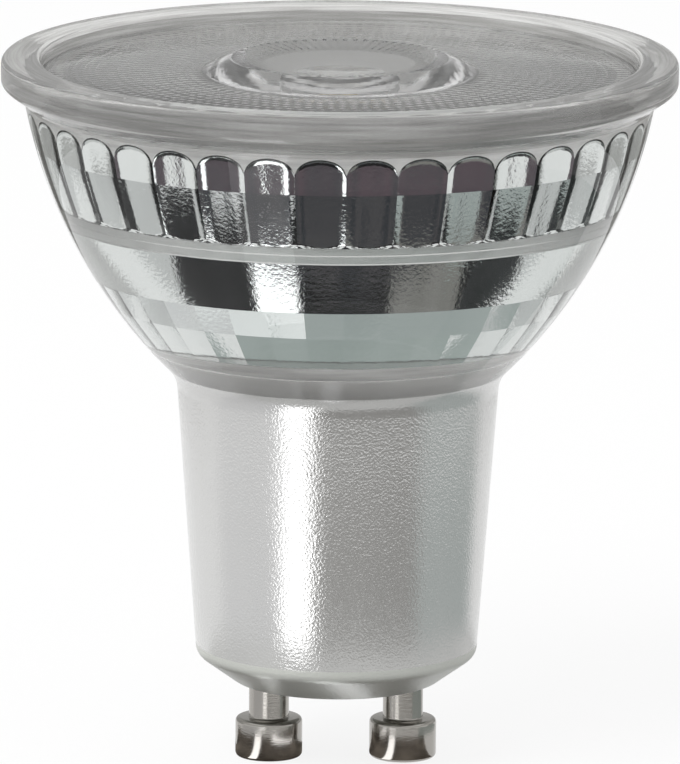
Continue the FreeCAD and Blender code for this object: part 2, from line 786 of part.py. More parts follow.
def driver_chip():
    z = board_low_z + SEMICONDUCTOR_LEVEL
    body = moulded_body(CHIP_WIDTH, CHIP_DEPTH, CHIP_HEIGHT, COLUMN_OFFSET, z)
    return body.fuse(gull_leads(CHIP_WIDTH, 4, CHIP_LEAD_PITCH, COLUMN_OFFSET, z)).removeSplitter()


def bridge_rectifier():
    z = board_low_z + SEMICONDUCTOR_LEVEL
    body = moulded_body(BRIDGE_WIDTH, BRIDGE_DEPTH, BRIDGE_HEIGHT, -COLUMN_OFFSET, z)
    leads = gull_leads(BRIDGE_WIDTH, 2, 2 * CHIP_LEAD_PITCH, -COLUMN_OFFSET, z)
    return body.fuse(leads).removeSplitter()


def freewheel_diode():
    z = board_low_z + DIODE_LEVEL
    body = moulded_body(DIODE_WIDTH, DIODE_DEPTH, DIODE_HEIGHT, -COLUMN_OFFSET, z)
    return body.fuse(gull_leads(DIODE_WIDTH, 1, CHIP_LEAD_PITCH, -COLUMN_OFFSET, z)).removeSplitter()


def sense_resistors():
    chips = []
    for column in (-0.5, 0.5):
        for row in (-0.5, 0.5):
            x = COLUMN_OFFSET + column * RESISTOR_PITCH_X
            z = board_low_z + RESISTOR_LEVEL + row * RESISTOR_PITCH_Z
            x0 = x - RESISTOR_WIDTH / 2
            z0 = z - RESISTOR_HEIGHT / 2
            y1 = board_face + RESISTOR_DEPTH
            chips.append(box(x0, x0 + RESISTOR_WIDTH, board_face, y1, z0, z0 + RESISTOR_HEIGHT))
    return Part.makeCompound(chips)


# Contact pins, their washers and leads
lead_bore_z = floor_z


def contact_pin(x):
    """Turned pin: headed tip, shank through the glass, riveted end with a bore for its lead."""
    washer_z = floor_z + WASHER_THICKNESS
    inner_edge = PIN_HEAD_RADIUS - PIN_HEAD_EDGE
    rivet_edge = RIVET_RADIUS - PIN_HEAD_EDGE
    pin = turned_outline([
        (0, 0),
        (inner_edge, 0),
        (PIN_HEAD_RADIUS, PIN_HEAD_EDGE),
        (PIN_HEAD_RADIUS, PIN_HEAD_HEIGHT - PIN_HEAD_EDGE),
        (inner_edge, PIN_HEAD_HEIGHT),
        (PIN_SHANK_RADIUS, PIN_HEAD_HEIGHT),
        (PIN_SHANK_RADIUS, washer_z),
        (RIVET_RADIUS, washer_z),
        (rivet_edge, rivet_top_z),
        (lead_hole, rivet_top_z),
        (lead_hole, lead_bore_z),
        (0, lead_bore_z),
    ])
    return moved(pin, x)


def pin_washers():
    washer = turned_outline([
        (PIN_SHANK_RADIUS + PIN_HOLE_GAP, floor_z),
        (WASHER_RADIUS, floor_z),
        (WASHER_RADIUS, floor_z + WASHER_THICKNESS),
        (PIN_SHANK_RADIUS + PIN_HOLE_GAP, floor_z + WASHER_THICKNESS),
    ])
    return Part.makeCompound([moved(washer, -pin_x), moved(washer, pin_x)])


def pin_lead(x):
    top_z = board_low_z + NOTCH_DEPTH - LEAD_GAP
    return cylinder(LEAD_RADIUS, Vector(x, 0, lead_bore_z), Vector(x, 0, top_z))


pieces = {
    "glass_reflector": glass_reflector(),
    "front_lens": front_lens(),
    "lens_bond_ring": lens_bond_ring(),
    "led_board": led_board(),
    "led_package": led_package(),
    "phosphor_disc": phosphor_disc(),
    "heat_spreader": heat_spreader(),
    "lead_bushes": lead_bushes(),
    "led_pin_positive": led_pin(led_pin_x),
    "led_pin_negative": led_pin(-led_pin_x),
    "driver_board": driver_board(),
    "bulk_capacitor": bulk_capacitor(),
    "output_capacitor": output_capacitor(),
    "film_capacitor": film_capacitor(),
    "inductor_core": inductor_core(),
    "inductor_winding": inductor_winding(),
    "bridge_rectifier": bridge_rectifier(),
    "driver_chip": driver_chip(),
    "freewheel_diode": freewheel_diode(),
    "fuse_resistor": fuse_resistor(),
    "sense_resistors": sense_resistors(),
    "live_lead": pin_lead(pin_x),
    "neutral_lead": pin_lead(-pin_x),
    "contact_pin_live": contact_pin(pin_x),
    "contact_pin_neutral": contact_pin(-pin_x),
    "pin_washers": pin_washers(),
}

os.makedirs("parts", exist_ok=True)
for name, shape in pieces.items():
    shape.exportStep("parts/" + name + ".step")
    print(name, "solids", len(shape.Solids), "valid", shape.isValid(), "volume", round(shape.Volume, 2))
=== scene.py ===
# %% [markdown]
# # A glass reflector spot with a twist-lock base
# The lamp is one pressed glass body, silvered inside, with a clear beaded lens in its mouth and two headed
# contact pins in its base. The CAD model brings every solid in its place. This lesson keeps those solids as a
# frame and gives the pieces that show most, the glass, the lens and the pins, a finer mesh.

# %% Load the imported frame
import json
import math

import bpy
from mathutils import Matrix, Vector


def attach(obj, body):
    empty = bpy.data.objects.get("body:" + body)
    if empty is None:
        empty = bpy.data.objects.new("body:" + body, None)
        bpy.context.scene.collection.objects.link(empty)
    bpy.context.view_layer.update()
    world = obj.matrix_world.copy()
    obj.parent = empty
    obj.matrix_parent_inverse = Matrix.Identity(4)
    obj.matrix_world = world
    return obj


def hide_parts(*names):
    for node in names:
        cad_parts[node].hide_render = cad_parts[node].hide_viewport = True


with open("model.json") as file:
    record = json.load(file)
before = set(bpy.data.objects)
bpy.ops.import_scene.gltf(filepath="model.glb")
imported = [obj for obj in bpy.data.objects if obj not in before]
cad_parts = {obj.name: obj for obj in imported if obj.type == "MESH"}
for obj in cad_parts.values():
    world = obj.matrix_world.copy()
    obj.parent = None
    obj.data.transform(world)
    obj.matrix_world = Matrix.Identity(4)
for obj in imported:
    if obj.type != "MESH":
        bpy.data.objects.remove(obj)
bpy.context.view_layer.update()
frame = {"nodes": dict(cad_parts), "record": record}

MM = 0.001

# %% [markdown]
# ## The camera
# A long lens far away keeps the rim's ellipse flat. The camera stands in front of the lamp, at -Y, 12 degrees
# above its middle, and leans a third of a degree because the lamp was not quite upright in front of it.

# %% Camera
CAMERA_DISTANCE = 0.8
CAMERA_ELEVATION = math.radians(12.0)
CAMERA_ROLL = math.radians(0.37)
CAMERA_LENS, SENSOR_WIDTH = 507.6, 36
LAMP_MIDDLE = Vector((0, 0, 0.0265))
AIM = Vector((0.00015, 0, 0.0285))

camera_data = bpy.data.cameras.new("studio_camera")
camera_data.sensor_width = SENSOR_WIDTH
camera_data.lens = CAMERA_LENS
camera_data.clip_start = 0.05
camera_data.clip_end = 20
camera = bpy.data.objects.new("studio_camera", camera_data)
bpy.context.scene.collection.objects.link(camera)
back = Vector((0, -math.cos(CAMERA_ELEVATION), math.sin(CAMERA_ELEVATION)))
camera.location = LAMP_MIDDLE + back * CAMERA_DISTANCE
look = (AIM - camera.location).to_track_quat("-Z", "Y").to_matrix().to_4x4()
camera.rotation_euler = (look @ Matrix.Rotation(CAMERA_ROLL, 4, "Z")).to_euler()
bpy.context.scene.camera = camera
print("Camera at", [round(c, 4) for c in camera.location])

# %% [markdown]
# ## Finishes from nodes
# Each finish is a Principled shader. Values that are the same all over are typed into its sockets. A painted
# picture could give the rest, but it would need unwrapped pieces, and nodes do not.

# %% A plain finish
def new_finish(name, colour, **sockets):
    """Material with one Principled shader. A socket's name is written with _ for each space."""
    material = bpy.data.materials.new(name)
    material.use_nodes = True
    shader = material.node_tree.nodes["Principled BSDF"]
    shader.inputs["Base Color"].default_value = (*colour, 1)
    for socket, value in sockets.items():
        shader.inputs[socket.replace("_", " ")].default_value = value
    return material


def add_node(material, kind, inputs, **settings):
    made = material.node_tree.nodes.new(kind)
    for name, value in settings.items():
        setattr(made, name, value)
    for name, value in inputs.items():
        if isinstance(value, bpy.types.NodeSocket):
            material.node_tree.links.new(value, made.inputs[name])
        else:
            made.inputs[name].default_value = value
    return made


def to_shader(material, socket, output):
    shader = material.node_tree.nodes["Principled BSDF"]
    material.node_tree.links.new(output, shader.inputs[socket])


# %% [markdown]
# Grain, ripples and stains come from noise on Object coordinates, so they stay put on the piece. Moulded pieces
# have faint rings about the lamp's axis, which are noise as well: it is drawn out along the turn.

# %% Grain
def object_place(material, stretch=(1, 1, 1)):
    place = add_node(material, "ShaderNodeTexCoord", {})
    mapped = add_node(material, "ShaderNodeMapping", {"Vector": place.outputs["Object"], "Scale": stretch})
    return mapped.outputs["Vector"]


def noise(material, size_mm, detail=2.0, stretch=(1, 1, 1)):
    """Noise whose lumps are about size_mm across."""
    inputs = {"Vector": object_place(material, stretch), "Scale": 1 / (size_mm * MM), "Detail": detail}
    return add_node(material, "ShaderNodeTexNoise", inputs).outputs["Fac"]


def bump(material, source, height_mm):
    inputs = {"Height": source, "Distance": height_mm * MM, "Strength": 1.0}
    to_shader(material, "Normal", add_node(material, "ShaderNodeBump", inputs).outputs["Normal"])


# %% Rings
def ring_streaks(material, size_mm, detail=2.0, reach_mm=1.0):
    """Noise drawn out along rings about the lamp's axis."""
    flat = object_place(material, (1, 1, 0))
    unit = add_node(material, "ShaderNodeVectorMath", {0: flat}, operation="NORMALIZE").outputs["Vector"]
    around = add_node(material, "ShaderNodeVectorMath", {0: unit, "Scale": reach_mm * MM}, operation="SCALE")
    radius = add_node(material, "ShaderNodeVectorMath", {0: flat}, operation="LENGTH").outputs["Value"]
    out = add_node(material, "ShaderNodeCombineXYZ", {"Z": radius}).outputs["Vector"]
    place = add_node(material, "ShaderNodeVectorMath", {0: around.outputs["Vector"], 1: out}, operation="ADD")
    height = add_node(material, "ShaderNodeSeparateXYZ", {"Vector": object_place(material)}).outputs["Z"]
    inputs = {"Vector": place.outputs["Vector"], "W": height, "Scale": 1 / (size_mm * MM), "Detail": detail}
    return add_node(material, "ShaderNodeTexNoise", inputs, noise_dimensions="4D").outputs["Fac"]


# %% Tones
NOISE_LOW, NOISE_HIGH = 0.35, 0.65
# sockets of the Mix node when it mixes colours
MIX_SHARE, MIX_FIRST, MIX_SECOND, MIX_COLOUR = 0, 6, 7, 2


def spread(material, source):
    """Noise stretched from the range where most of it lies to 0 to 1."""
    inputs = {"Value": source, "From Min": NOISE_LOW, "From Max": NOISE_HIGH}
    return add_node(material, "ShaderNodeMapRange", inputs).outputs["Result"]


def mix_tones(material, source, first, second):
    """Colour that changes from the first to the second as the source goes from 0 to 1."""
    mix = material.node_tree.nodes.new("ShaderNodeMix")
    mix.data_type = "RGBA"
    material.node_tree.links.new(source, mix.inputs[MIX_SHARE])
    mix.inputs[MIX_FIRST].default_value = (*first, 1)
    mix.inputs[MIX_SECOND].default_value = (*second, 1)
    return mix.outputs[MIX_COLOUR]


def tone(material, source, first, second):
    to_shader(material, "Base Color", mix_tones(material, source, first, second))


# %% [markdown]
# ## The glass finishes
# The outside of the bowl is clear pressed glass with a faint ripple, and the inside carries the silver: bright on
# the flutes, band and facets, and satin on the ring that seats the board. The silver of the neck could lie inside
# too, but its fine grains glitter best on the outer skin, so the satin goes there. The foot is bare, slightly
# frosted glass. A hazy collar joins neck and bowl. A pale, streaky glass above the flutes and in the throat is
# painted light, paler than the silver there, and the rim has faint rings from its mould.

# %% Clear glass and silver
clear_glass = new_finish("clear_glass", (0.97, 0.985, 0.975), Roughness=0.0, IOR=1.5, Transmission_Weight=1.0,
                         Specular_Tint=(0.4, 0.4, 0.4, 1))
bump(clear_glass, noise(clear_glass, 2.5, 1.0), 0.004)

bright_silver = new_finish("bright_silver", (0.68, 0.695, 0.69), Metallic=1.0, Roughness=0.02)
bump(bright_silver, noise(bright_silver, 0.28, 5.0), 0.0075)

satin_silver = new_finish("satin_silver", (0.71, 0.71, 0.7), Metallic=0.6, Roughness=0.08)
bump(satin_silver, noise(satin_silver, 0.17, 2.0), 0.029)
print("Finishes so far:", clear_glass.name, bright_silver.name, satin_silver.name)

# %% Hazy, frosted, bonded and rim glass
hazy_glass = new_finish("hazy_glass", (0.98, 0.98, 0.96), Roughness=0.14, IOR=1.5, Transmission_Weight=0.62)
bump(hazy_glass, ring_streaks(hazy_glass, 0.5, 2.0), 0.02)

frosted_glass = new_finish("frosted_glass", (0.74, 0.755, 0.71), Metallic=0.2, Roughness=0.35)
bump(frosted_glass, noise(frosted_glass, 0.2, 3.0), 0.02)

# Painted light: a pale colour that lights the strip above the flutes and the inner throat wall.
painted_light_glass = new_finish("painted_light_glass", (0.6, 0.6, 0.59), Roughness=0.3, IOR=1.5, Transmission_Weight=0.15)
streaks = spread(painted_light_glass, ring_streaks(painted_light_glass, 0.5, 3.0))
tone(painted_light_glass, streaks, (0.72, 0.705, 0.7), (1.0, 0.99, 0.98))
bump(painted_light_glass, noise(painted_light_glass, 0.8, 2.0, (1, 1, 6)), 0.02)

rim_glass = new_finish("rim_glass", (0.8, 0.8, 0.79), Roughness=0.03, IOR=1.5, Transmission_Weight=0.78)
streaks = spread(rim_glass, ring_streaks(rim_glass, 0.25, 2.0, 0.8))
tone(rim_glass, streaks, (0.56, 0.555, 0.54), (0.94, 0.94, 0.93))
bump(rim_glass, ring_streaks(rim_glass, 0.4, 2.0, 0.8), 0.02)

glass_finishes = (clear_glass, bright_silver, satin_silver, frosted_glass, painted_light_glass, rim_glass, hazy_glass)
CLEAR, BRIGHT, SATIN, FROSTED, PAINTED_LIGHT, RIM, HAZY = range(len(glass_finishes))
print("Glass finishes:", [finish.name for finish in glass_finishes])

# %% [markdown]
# ## Outline of the glass
# Hot glass is pressed between a mould, which gives the smooth outside, and a plunger, which gives the inside.
# So the outline is drawn as two walls, in the CAD model's sizes: base, neck, bowl and rim going up outside,
# then lens seat, flutes, ledge, band, facets and neck going down inside. A cylinder could be scaled ring by ring
# instead, but an outline is easier to check against those sizes.

# %% Sizes of the glass, in millimetres
BASE_Z, BASE_CORNER_Z, SHOULDER_Z, MOUTH_Z, RIM_LOW_Z, RIM_Z = 6.1, 8.1, 29.1, 49.9, 51.1, 53.0
BASE_RADIUS, NECK_LOW_RADIUS, NECK_TOP_RADIUS, MOUTH_RADIUS, RIM_RADIUS = 7.7, 10.45, 12.0, 23.3, 25.0
FLOOR_Z, THROAT_Z, FACET_LOW_Z, FACET_BREAK_Z, FACET_TOP_Z = 8.7, 30.3, 33.0, 35.5, 37.6
BOARD_SEAT_Z, FLUTE_LOW_Z, FLUTE_BREAK_Z, LENS_SEAT_Z = 41.5, 42.75, 46.8, 51.0
BOWL_BULGE = 1.87
MOULD_LINE_Z, MOULD_LINE_HALF = 31.5, 0.05
BOWL_WALL, FACET_WALL, NECK_WALL = 2.1, 2.6, 1.8
# small gaps between skins, and the slack when heights are compared
SKIN_GAP, SLACK = 0.02, 0.01
SATIN_LOW_Z, SATIN_TOP_Z, INNER_SATIN_TOP_Z = 8.85, 29.85, 28.0
SEAT_STEP, RING_WIDTH, LEDGE_WIDTH, BAND_WIDTH, CREASE = 0.85, 0.8, 0.7, 1.3, 0.15
FLUTES, FLUTE_TURN = 36, 1.4
FLUTE_DEPTH, FLUTE_CROWN = 0.35, 0.14
STEPS_PER_FLUTE = 18
PITCH = 360 / FLUTES
print("Glass from height", BASE_Z, "to", RIM_Z, "with", FLUTES, "flutes")

# %% Curve of the bowl and radii of the steps
chord = math.hypot(MOUTH_RADIUS - NECK_TOP_RADIUS, MOUTH_Z - SHOULDER_Z)
bowl_curve = chord ** 2 / (8 * BOWL_BULGE) + BOWL_BULGE / 2
across = Vector((MOUTH_Z - SHOULDER_Z, NECK_TOP_RADIUS - MOUTH_RADIUS)) / chord
chord_middle = Vector((NECK_TOP_RADIUS + MOUTH_RADIUS, SHOULDER_Z + MOUTH_Z)) / 2
bowl_centre = chord_middle - across * (bowl_curve - BOWL_BULGE)


def bowl_radius(level):
    return bowl_centre.x + math.sqrt(bowl_curve ** 2 - (level - bowl_centre.y) ** 2)


flute_low_radius = bowl_radius(FLUTE_LOW_Z) - BOWL_WALL
flute_break_radius = bowl_radius(FLUTE_BREAK_Z) - BOWL_WALL
flute_top_radius = MOUTH_RADIUS - BOWL_WALL
seat_radius = flute_top_radius + SEAT_STEP
ring_top_radius = flute_low_radius - FLUTE_DEPTH
ring_low_radius = ring_top_radius - RING_WIDTH
band_top_radius = ring_low_radius - LEDGE_WIDTH
band_low_radius = band_top_radius - BAND_WIDTH
facet_top_radius = band_low_radius - CREASE
facet_break_radius = bowl_radius(FACET_BREAK_Z) - FACET_WALL
facet_low_radius = bowl_radius(FACET_LOW_Z) - FACET_WALL
throat_radius = facet_low_radius * math.cos(math.radians(PITCH / 2)) - CREASE
print("Flutes from radius", round(flute_low_radius, 2), "to", round(flute_top_radius, 2))

# %% [markdown]
# Pressed glass has no sharp corners, so each corner of the outside wall is rounded by its own arc. A fine line runs
# round the bowl above the throat, where two parts of the mould met, and two close rows of points keep its place.

# %% Rounded corners and rows of points
def corner_round(a, b, c, radius, steps):
    """Points of the arc that rounds corner b between the lines from a and to c."""
    a, b, c = Vector(a), Vector(b), Vector(c)
    into, out = (a - b).normalized(), (c - b).normalized()
    half = into.angle(out) / 2
    centre = b + (into + out).normalized() * (radius / math.sin(half))
    reach = radius / math.tan(half)
    first, final = b + into * reach - centre, b + out * reach - centre
    start = math.atan2(first.y, first.x)
    turn = math.remainder(math.atan2(final.y, final.x) - start, 2 * math.pi)
    points = []
    for step in range(steps + 1):
        angle = start + turn * step / steps
        points.append((centre.x + radius * math.cos(angle), centre.y + radius * math.sin(angle)))
    return points


def between(a, b, count):
    """Evenly spaced points after a, up to and with b."""
    return [tuple(Vector(a).lerp(Vector(b), step / count)) for step in range(1, count + 1)]


# %% Outside wall
BASE_EDGE_ROUND, BASE_ROUND, SHOULDER_ROUND = 0.5, 1.0, 2.6
MOUTH_ROUND, RIM_LOW_ROUND, RIM_ROUND, SEAT_ROUND = 0.5, 0.6, 0.5, 0.4
SATIN_LOW_RADIUS, NECK_HIGH_RADIUS = NECK_LOW_RADIUS + 0.056, NECK_TOP_RADIUS - 0.3
NECK_REACH, BOWL_ROWS, BOWL_LOW_Z, BOWL_TOP_Z = 4, 26, SHOULDER_Z + 1.2, MOUTH_Z - 0.5
base_edge, base_corner = (BASE_RADIUS, BASE_Z), (NECK_LOW_RADIUS, BASE_CORNER_Z)
shoulder, mouth = (NECK_TOP_RADIUS, SHOULDER_Z), (MOUTH_RADIUS, MOUTH_Z)
rim_low, rim_top = (RIM_RADIUS, RIM_LOW_Z), (RIM_RADIUS, RIM_Z)
seat_top, seat_low = (seat_radius + SKIN_GAP, RIM_Z), (seat_radius + SKIN_GAP, LENS_SEAT_Z)
bowl_start, bowl_end = ((bowl_radius(z), z) for z in (SHOULDER_Z + 2, MOUTH_Z - 1))
satin_low, neck_high = (SATIN_LOW_RADIUS, SATIN_LOW_Z + SLACK), (NECK_HIGH_RADIUS, SHOULDER_Z - NECK_REACH)

outside = [(0, BASE_Z), (BASE_RADIUS / 2, BASE_Z)]
outside += corner_round((0, BASE_Z), base_edge, base_corner, BASE_EDGE_ROUND, 4)
outside += corner_round(base_edge, base_corner, shoulder, BASE_ROUND, 6)
outside += [satin_low]
outside += between(satin_low, neck_high, 5)
outside += corner_round(base_corner, shoulder, bowl_start, SHOULDER_ROUND, 10)
bowl_levels = [BOWL_LOW_Z + (BOWL_TOP_Z - BOWL_LOW_Z) * row / BOWL_ROWS for row in range(1, BOWL_ROWS + 1)]
bowl_levels += [MOULD_LINE_Z - MOULD_LINE_HALF, MOULD_LINE_Z + MOULD_LINE_HALF]
outside += [(bowl_radius(z), z) for z in sorted(bowl_levels)]
outside += corner_round(bowl_end, mouth, rim_low, MOUTH_ROUND, 5)
outside += corner_round(mouth, rim_low, rim_top, RIM_LOW_ROUND, 8)
outside += corner_round(rim_low, rim_top, seat_top, RIM_ROUND, 6)
outside += corner_round(rim_top, seat_top, seat_low, SEAT_ROUND, 5)
print("Outside wall:", len(outside), "points")

# %% Inside wall
RISER, CORNER_ROUND = 0.1, 0.6
ARCH_TOP_Z, ARCH_END, FOOT_HEIGHT = 49.5, 0.14, 0.6


def wall_at(top, low, level):
    """Point at a height on the straight wall between two points."""
    share = (level - low[1]) / (top[1] - low[1])
    return (low[0] + share * (top[0] - low[0]), level)


flute_top, flute_break = (flute_top_radius, LENS_SEAT_Z), (flute_break_radius, FLUTE_BREAK_Z)
flute_low, ledge_z = (flute_low_radius, FLUTE_LOW_Z), BOARD_SEAT_Z - SKIN_GAP
ring_middle_radius, ring_middle_z = (ring_top_radius + ring_low_radius) / 2, (FLUTE_LOW_Z + BOARD_SEAT_Z) / 2
band_top, band_low = (band_top_radius, ledge_z), (band_low_radius, FACET_TOP_Z)
throat_top, neck_top = (throat_radius, FACET_LOW_Z), (NECK_TOP_RADIUS - NECK_WALL, THROAT_Z)
floor_corner, floor_middle = (NECK_LOW_RADIUS - NECK_WALL, FLOOR_Z), (0, FLOOR_Z)

inside = [seat_low, flute_top]
arch_high, arch_low = (wall_at(flute_top, flute_break, z) for z in (ARCH_TOP_Z, ARCH_TOP_Z - ARCH_END))
foot_high = wall_at(flute_break, flute_low, FLUTE_LOW_Z + FOOT_HEIGHT)
inside += between(flute_top, arch_high, 3) + between(arch_high, arch_low, 4) + between(arch_low, flute_break, 8)
inside += between(flute_break, foot_high, 5) + between(foot_high, flute_low, 8)
inside += [(ring_top_radius - SKIN_GAP, FLUTE_LOW_Z - SKIN_GAP), (ring_middle_radius, ring_middle_z + RISER)]
inside += [(ring_middle_radius, ring_middle_z), (ring_low_radius, ledge_z + RISER), (ring_low_radius, ledge_z)]
inside += [band_top]
inside += between(band_top, band_low, 6)
inside += [(facet_top_radius, FACET_TOP_Z), (facet_break_radius, FACET_BREAK_Z), (facet_low_radius, FACET_LOW_Z)]
inside += [throat_top]
inside += between(throat_top, neck_top, 3)
inside += between(neck_top, (NECK_HIGH_RADIUS - NECK_WALL, THROAT_Z - NECK_REACH), 2)
inside += corner_round(neck_top, floor_corner, floor_middle, CORNER_ROUND, 5)
inside += [(floor_corner[0] / 2, FLOOR_Z), floor_middle]
print("Inside wall:", len(inside), "points")

# %% [markdown]
# ## Spinning the glass
# Operators act on whatever is selected, so every step starts from an empty selection. Most pieces of this lamp
# are turned about its axis. A lathe would be the tool for that in a workshop, and here one helper draws a wire
# outline point by point, as by hand with extrude, and a second one spins it into a closed skin.

# %% Selecting a piece
def object_mode():
    if bpy.context.object and bpy.context.object.mode != "OBJECT":
        bpy.ops.object.mode_set(mode="OBJECT")


def clear_selection():
    object_mode()
    bpy.ops.object.select_all(action="DESELECT")


def select_only(piece):
    clear_selection()
    piece.select_set(True)
    bpy.context.view_layer.objects.active = piece


# %% Drawing and spinning an outline
def draw_outline(name, points):
    """Wire in the XZ plane through (radius, height) points in millimetres, extruded from one vertex."""
    clear_selection()
    bpy.ops.mesh.primitive_plane_add(size=MM, location=(0, 0, 0))
    piece = bpy.context.object
    piece.name = name
    piece.data.name = name
    bpy.ops.object.mode_set(mode="EDIT")
    bpy.ops.mesh.select_all(action="SELECT")
    bpy.ops.mesh.merge(type="CENTER")
    last = points[0]
    bpy.ops.transform.translate(value=(last[0] * MM, 0, last[1] * MM))
    for here in points[1:]:
        step = ((here[0] - last[0]) * MM, 0, (here[1] - last[1]) * MM)
        bpy.ops.mesh.extrude_vertices_move(TRANSFORM_OT_translate={"value": step})
        last = here
    return piece


WELD = 0.0005


def spin_closed(piece, steps):
    """Full turn of the drawn outline about the lamp's axis, welded and facing outwards."""
    object_mode()
    turn = piece.modifiers.new("turn", "SCREW")
    turn.axis = "Z"
    turn.angle = 2 * math.pi
    turn.steps = steps
    turn.render_steps = steps
    bpy.ops.object.modifier_apply(modifier=turn.name)
    bpy.ops.object.mode_set(mode="EDIT")
    bpy.ops.mesh.select_all(action="SELECT")
    bpy.ops.mesh.remove_doubles(threshold=WELD * MM)
    bpy.ops.mesh.normals_make_consistent(inside=False)
    object_mode()
    print(piece.name, "has", len(piece.data.vertices), "vertices")
    return piece


# %% [markdown]
# The glass is spun in steps that divide every flute evenly, so a row of vertices runs down each line between two
# flutes. Two drilled holes for the pins are cut with a Boolean while the walls are still plain, because it leaves
# the cleanest faces there.

# %% Glass body
glass_body = spin_closed(draw_outline("glass_body", outside + inside), FLUTES * STEPS_PER_FLUTE)
select_only(glass_body)
bpy.ops.object.mode_set(mode="EDIT")
bpy.ops.mesh.select_all(action="SELECT")
bpy.ops.transform.rotate(value=math.radians(FLUTE_TURN), orient_axis="Z", center_override=(0, 0, 0))
object_mode()
first_turn = min(math.degrees(math.atan2(v.co.y, v.co.x)) % PITCH for v in glass_body.data.vertices if v.co.x > MM)
print("Rows start at", round(first_turn, 3), "degrees")

# %% Pin holes
PIN_X, PIN_HOLE_RADIUS, DRILL_DEPTH, DRILL_STEPS = 5.0, 1.57, 6.0, 48
base_middle_z = (BASE_Z + FLOOR_Z) / 2
for x in (-PIN_X, PIN_X):
    clear_selection()
    bpy.ops.mesh.primitive_cylinder_add(vertices=DRILL_STEPS, radius=PIN_HOLE_RADIUS * MM, depth=DRILL_DEPTH * MM,
                                        location=(x * MM, 0, base_middle_z * MM))
    drill = bpy.context.object
    select_only(glass_body)
    hole = glass_body.modifiers.new("pin_hole", "BOOLEAN")
    hole.operation = "DIFFERENCE"
    hole.solver = "MANIFOLD"
    hole.object = drill
    bpy.ops.object.modifier_apply(modifier=hole.name)
    bpy.data.objects.remove(drill)
print("Glass with pin holes:", len(glass_body.data.polygons), "faces")

# %% [markdown]
# ## Pressing the flutes and facets
# On the real plunger the flutes are 36 round grooves with rounded ends, so on the glass they are 36 shallow
# lobes. A Boolean with 36 round tools would leave ragged strips of faces. Moving the spun vertices inwards keeps
# clean rows: the lobe is highest in the middle of a flute and runs out in an arch at both ends. At the top the
# rows sink towards the lines between the flutes, so that they follow the arches and the silver ends in a clean
# curve. The two facet rows are pulled flat between their corners in the same way.

# %% Shape of a flute
ARCH_TOP_HEIGHT, ARCH_LOW_HEIGHT = 1.3, 0.4
HALF_BOWL_WALL, HALF_NECK_WALL, NECK_SLOPE = 1.2, 1.0, 0.074


def arch_fall(share):
    """Fall of a round arch of height 1, at a share from -1 to 1 across it."""
    return 1 - math.sqrt(max(0.0, 1 - share ** 2))


def flute_share(x, y):
    """Share from -1 to 1 across the flute at a place."""
    return 2 * (((math.degrees(math.atan2(y, x)) - FLUTE_TURN) / PITCH) % 1) - 1


def arch_drop(share, level):
    """How far a row of vertices sinks towards the lines between flutes, so that it follows the arches."""
    rise = (level - FLUTE_BREAK_Z) / (ARCH_TOP_Z - FLUTE_BREAK_Z)
    fade = (LENS_SEAT_Z - level) / (LENS_SEAT_Z - ARCH_TOP_Z)
    return ARCH_TOP_HEIGHT * arch_fall(share) * max(0.0, min(rise, fade))


def lobe(share, level):
    """How far a flute stands out, at a share across it and at a row's height before it sinks."""
    below_top = (ARCH_TOP_Z - level) / ARCH_END
    above_low = (level - FLUTE_LOW_Z - ARCH_LOW_HEIGHT * arch_fall(share)) / ARCH_END + 0.5
    end = max(0.0, min(1.0, below_top, above_low))
    return FLUTE_CROWN * (1 - share ** 4) * math.sin(end * math.pi / 2)


def is_inside(radius, level):
    """True for a place on the inner wall, at a height below the lens seat."""
    if level < SHOULDER_Z:
        return radius < NECK_LOW_RADIUS + (level - BASE_CORNER_Z) * NECK_SLOPE - HALF_NECK_WALL
    return radius < bowl_radius(level) - HALF_BOWL_WALL


# %% Press the flutes and facets
above_arches = set()
for face in glass_body.data.polygons:
    x, y, z = face.center / MM
    if ARCH_TOP_Z < z < LENS_SEAT_Z - SLACK and is_inside(math.hypot(x, y), z):
        above_arches.add(face.index)

moved = 0
for vertex in glass_body.data.vertices:
    x, y, z = vertex.co / MM
    radius = math.hypot(x, y)
    if not FACET_LOW_Z - SLACK < z < LENS_SEAT_Z - SLACK or not is_inside(radius, z):
        continue
    share = flute_share(x, y)
    if z > FLUTE_BREAK_Z:
        level = z - arch_drop(share, z)
        vertex.co.z = level * MM
        wanted = wall_at(flute_top, flute_break, level)[0] - lobe(share, z)
    elif z > FLUTE_LOW_Z - SLACK:
        wanted = radius - lobe(share, z)
    elif z < FACET_TOP_Z + SLACK and min(abs(radius - plain) for plain in (band_low_radius, throat_radius)) > SLACK:
        wanted = radius * math.cos(math.radians(PITCH / 2)) / math.cos(math.radians(share * PITCH / 2))
    else:
        continue
    vertex.co.x *= wanted / radius
    vertex.co.y *= wanted / radius
    moved += 1
print("Vertices pressed:", moved)

# %% [markdown]
# A pressed edge catches the light as a thin line. Smooth shading by angle alone would blur the low edges between
# flutes, and a bevel would cost many faces, so the edges on these lines are marked sharp first.

# %% Marking and smoothing
def mark_sharp_edges(piece, test):
    """Mark as sharp the edges whose two ends pass a test on (radius, height, turn in degrees)."""
    select_only(piece)
    mesh = piece.data
    places = []
    for vertex in mesh.vertices:
        x, y, z = vertex.co / MM
        places.append((math.hypot(x, y), z, math.degrees(math.atan2(y, x))))
    bpy.ops.object.mode_set(mode="EDIT")
    bpy.ops.mesh.select_mode(type="EDGE")
    bpy.ops.mesh.select_all(action="DESELECT")
    bpy.ops.object.mode_set(mode="OBJECT")
    for edge in mesh.edges:
        edge.select = test(places[edge.vertices[0]], places[edge.vertices[1]])
    bpy.ops.object.mode_set(mode="EDIT")
    bpy.ops.mesh.mark_sharp()
    bpy.ops.mesh.select_mode(type="VERT")
    object_mode()


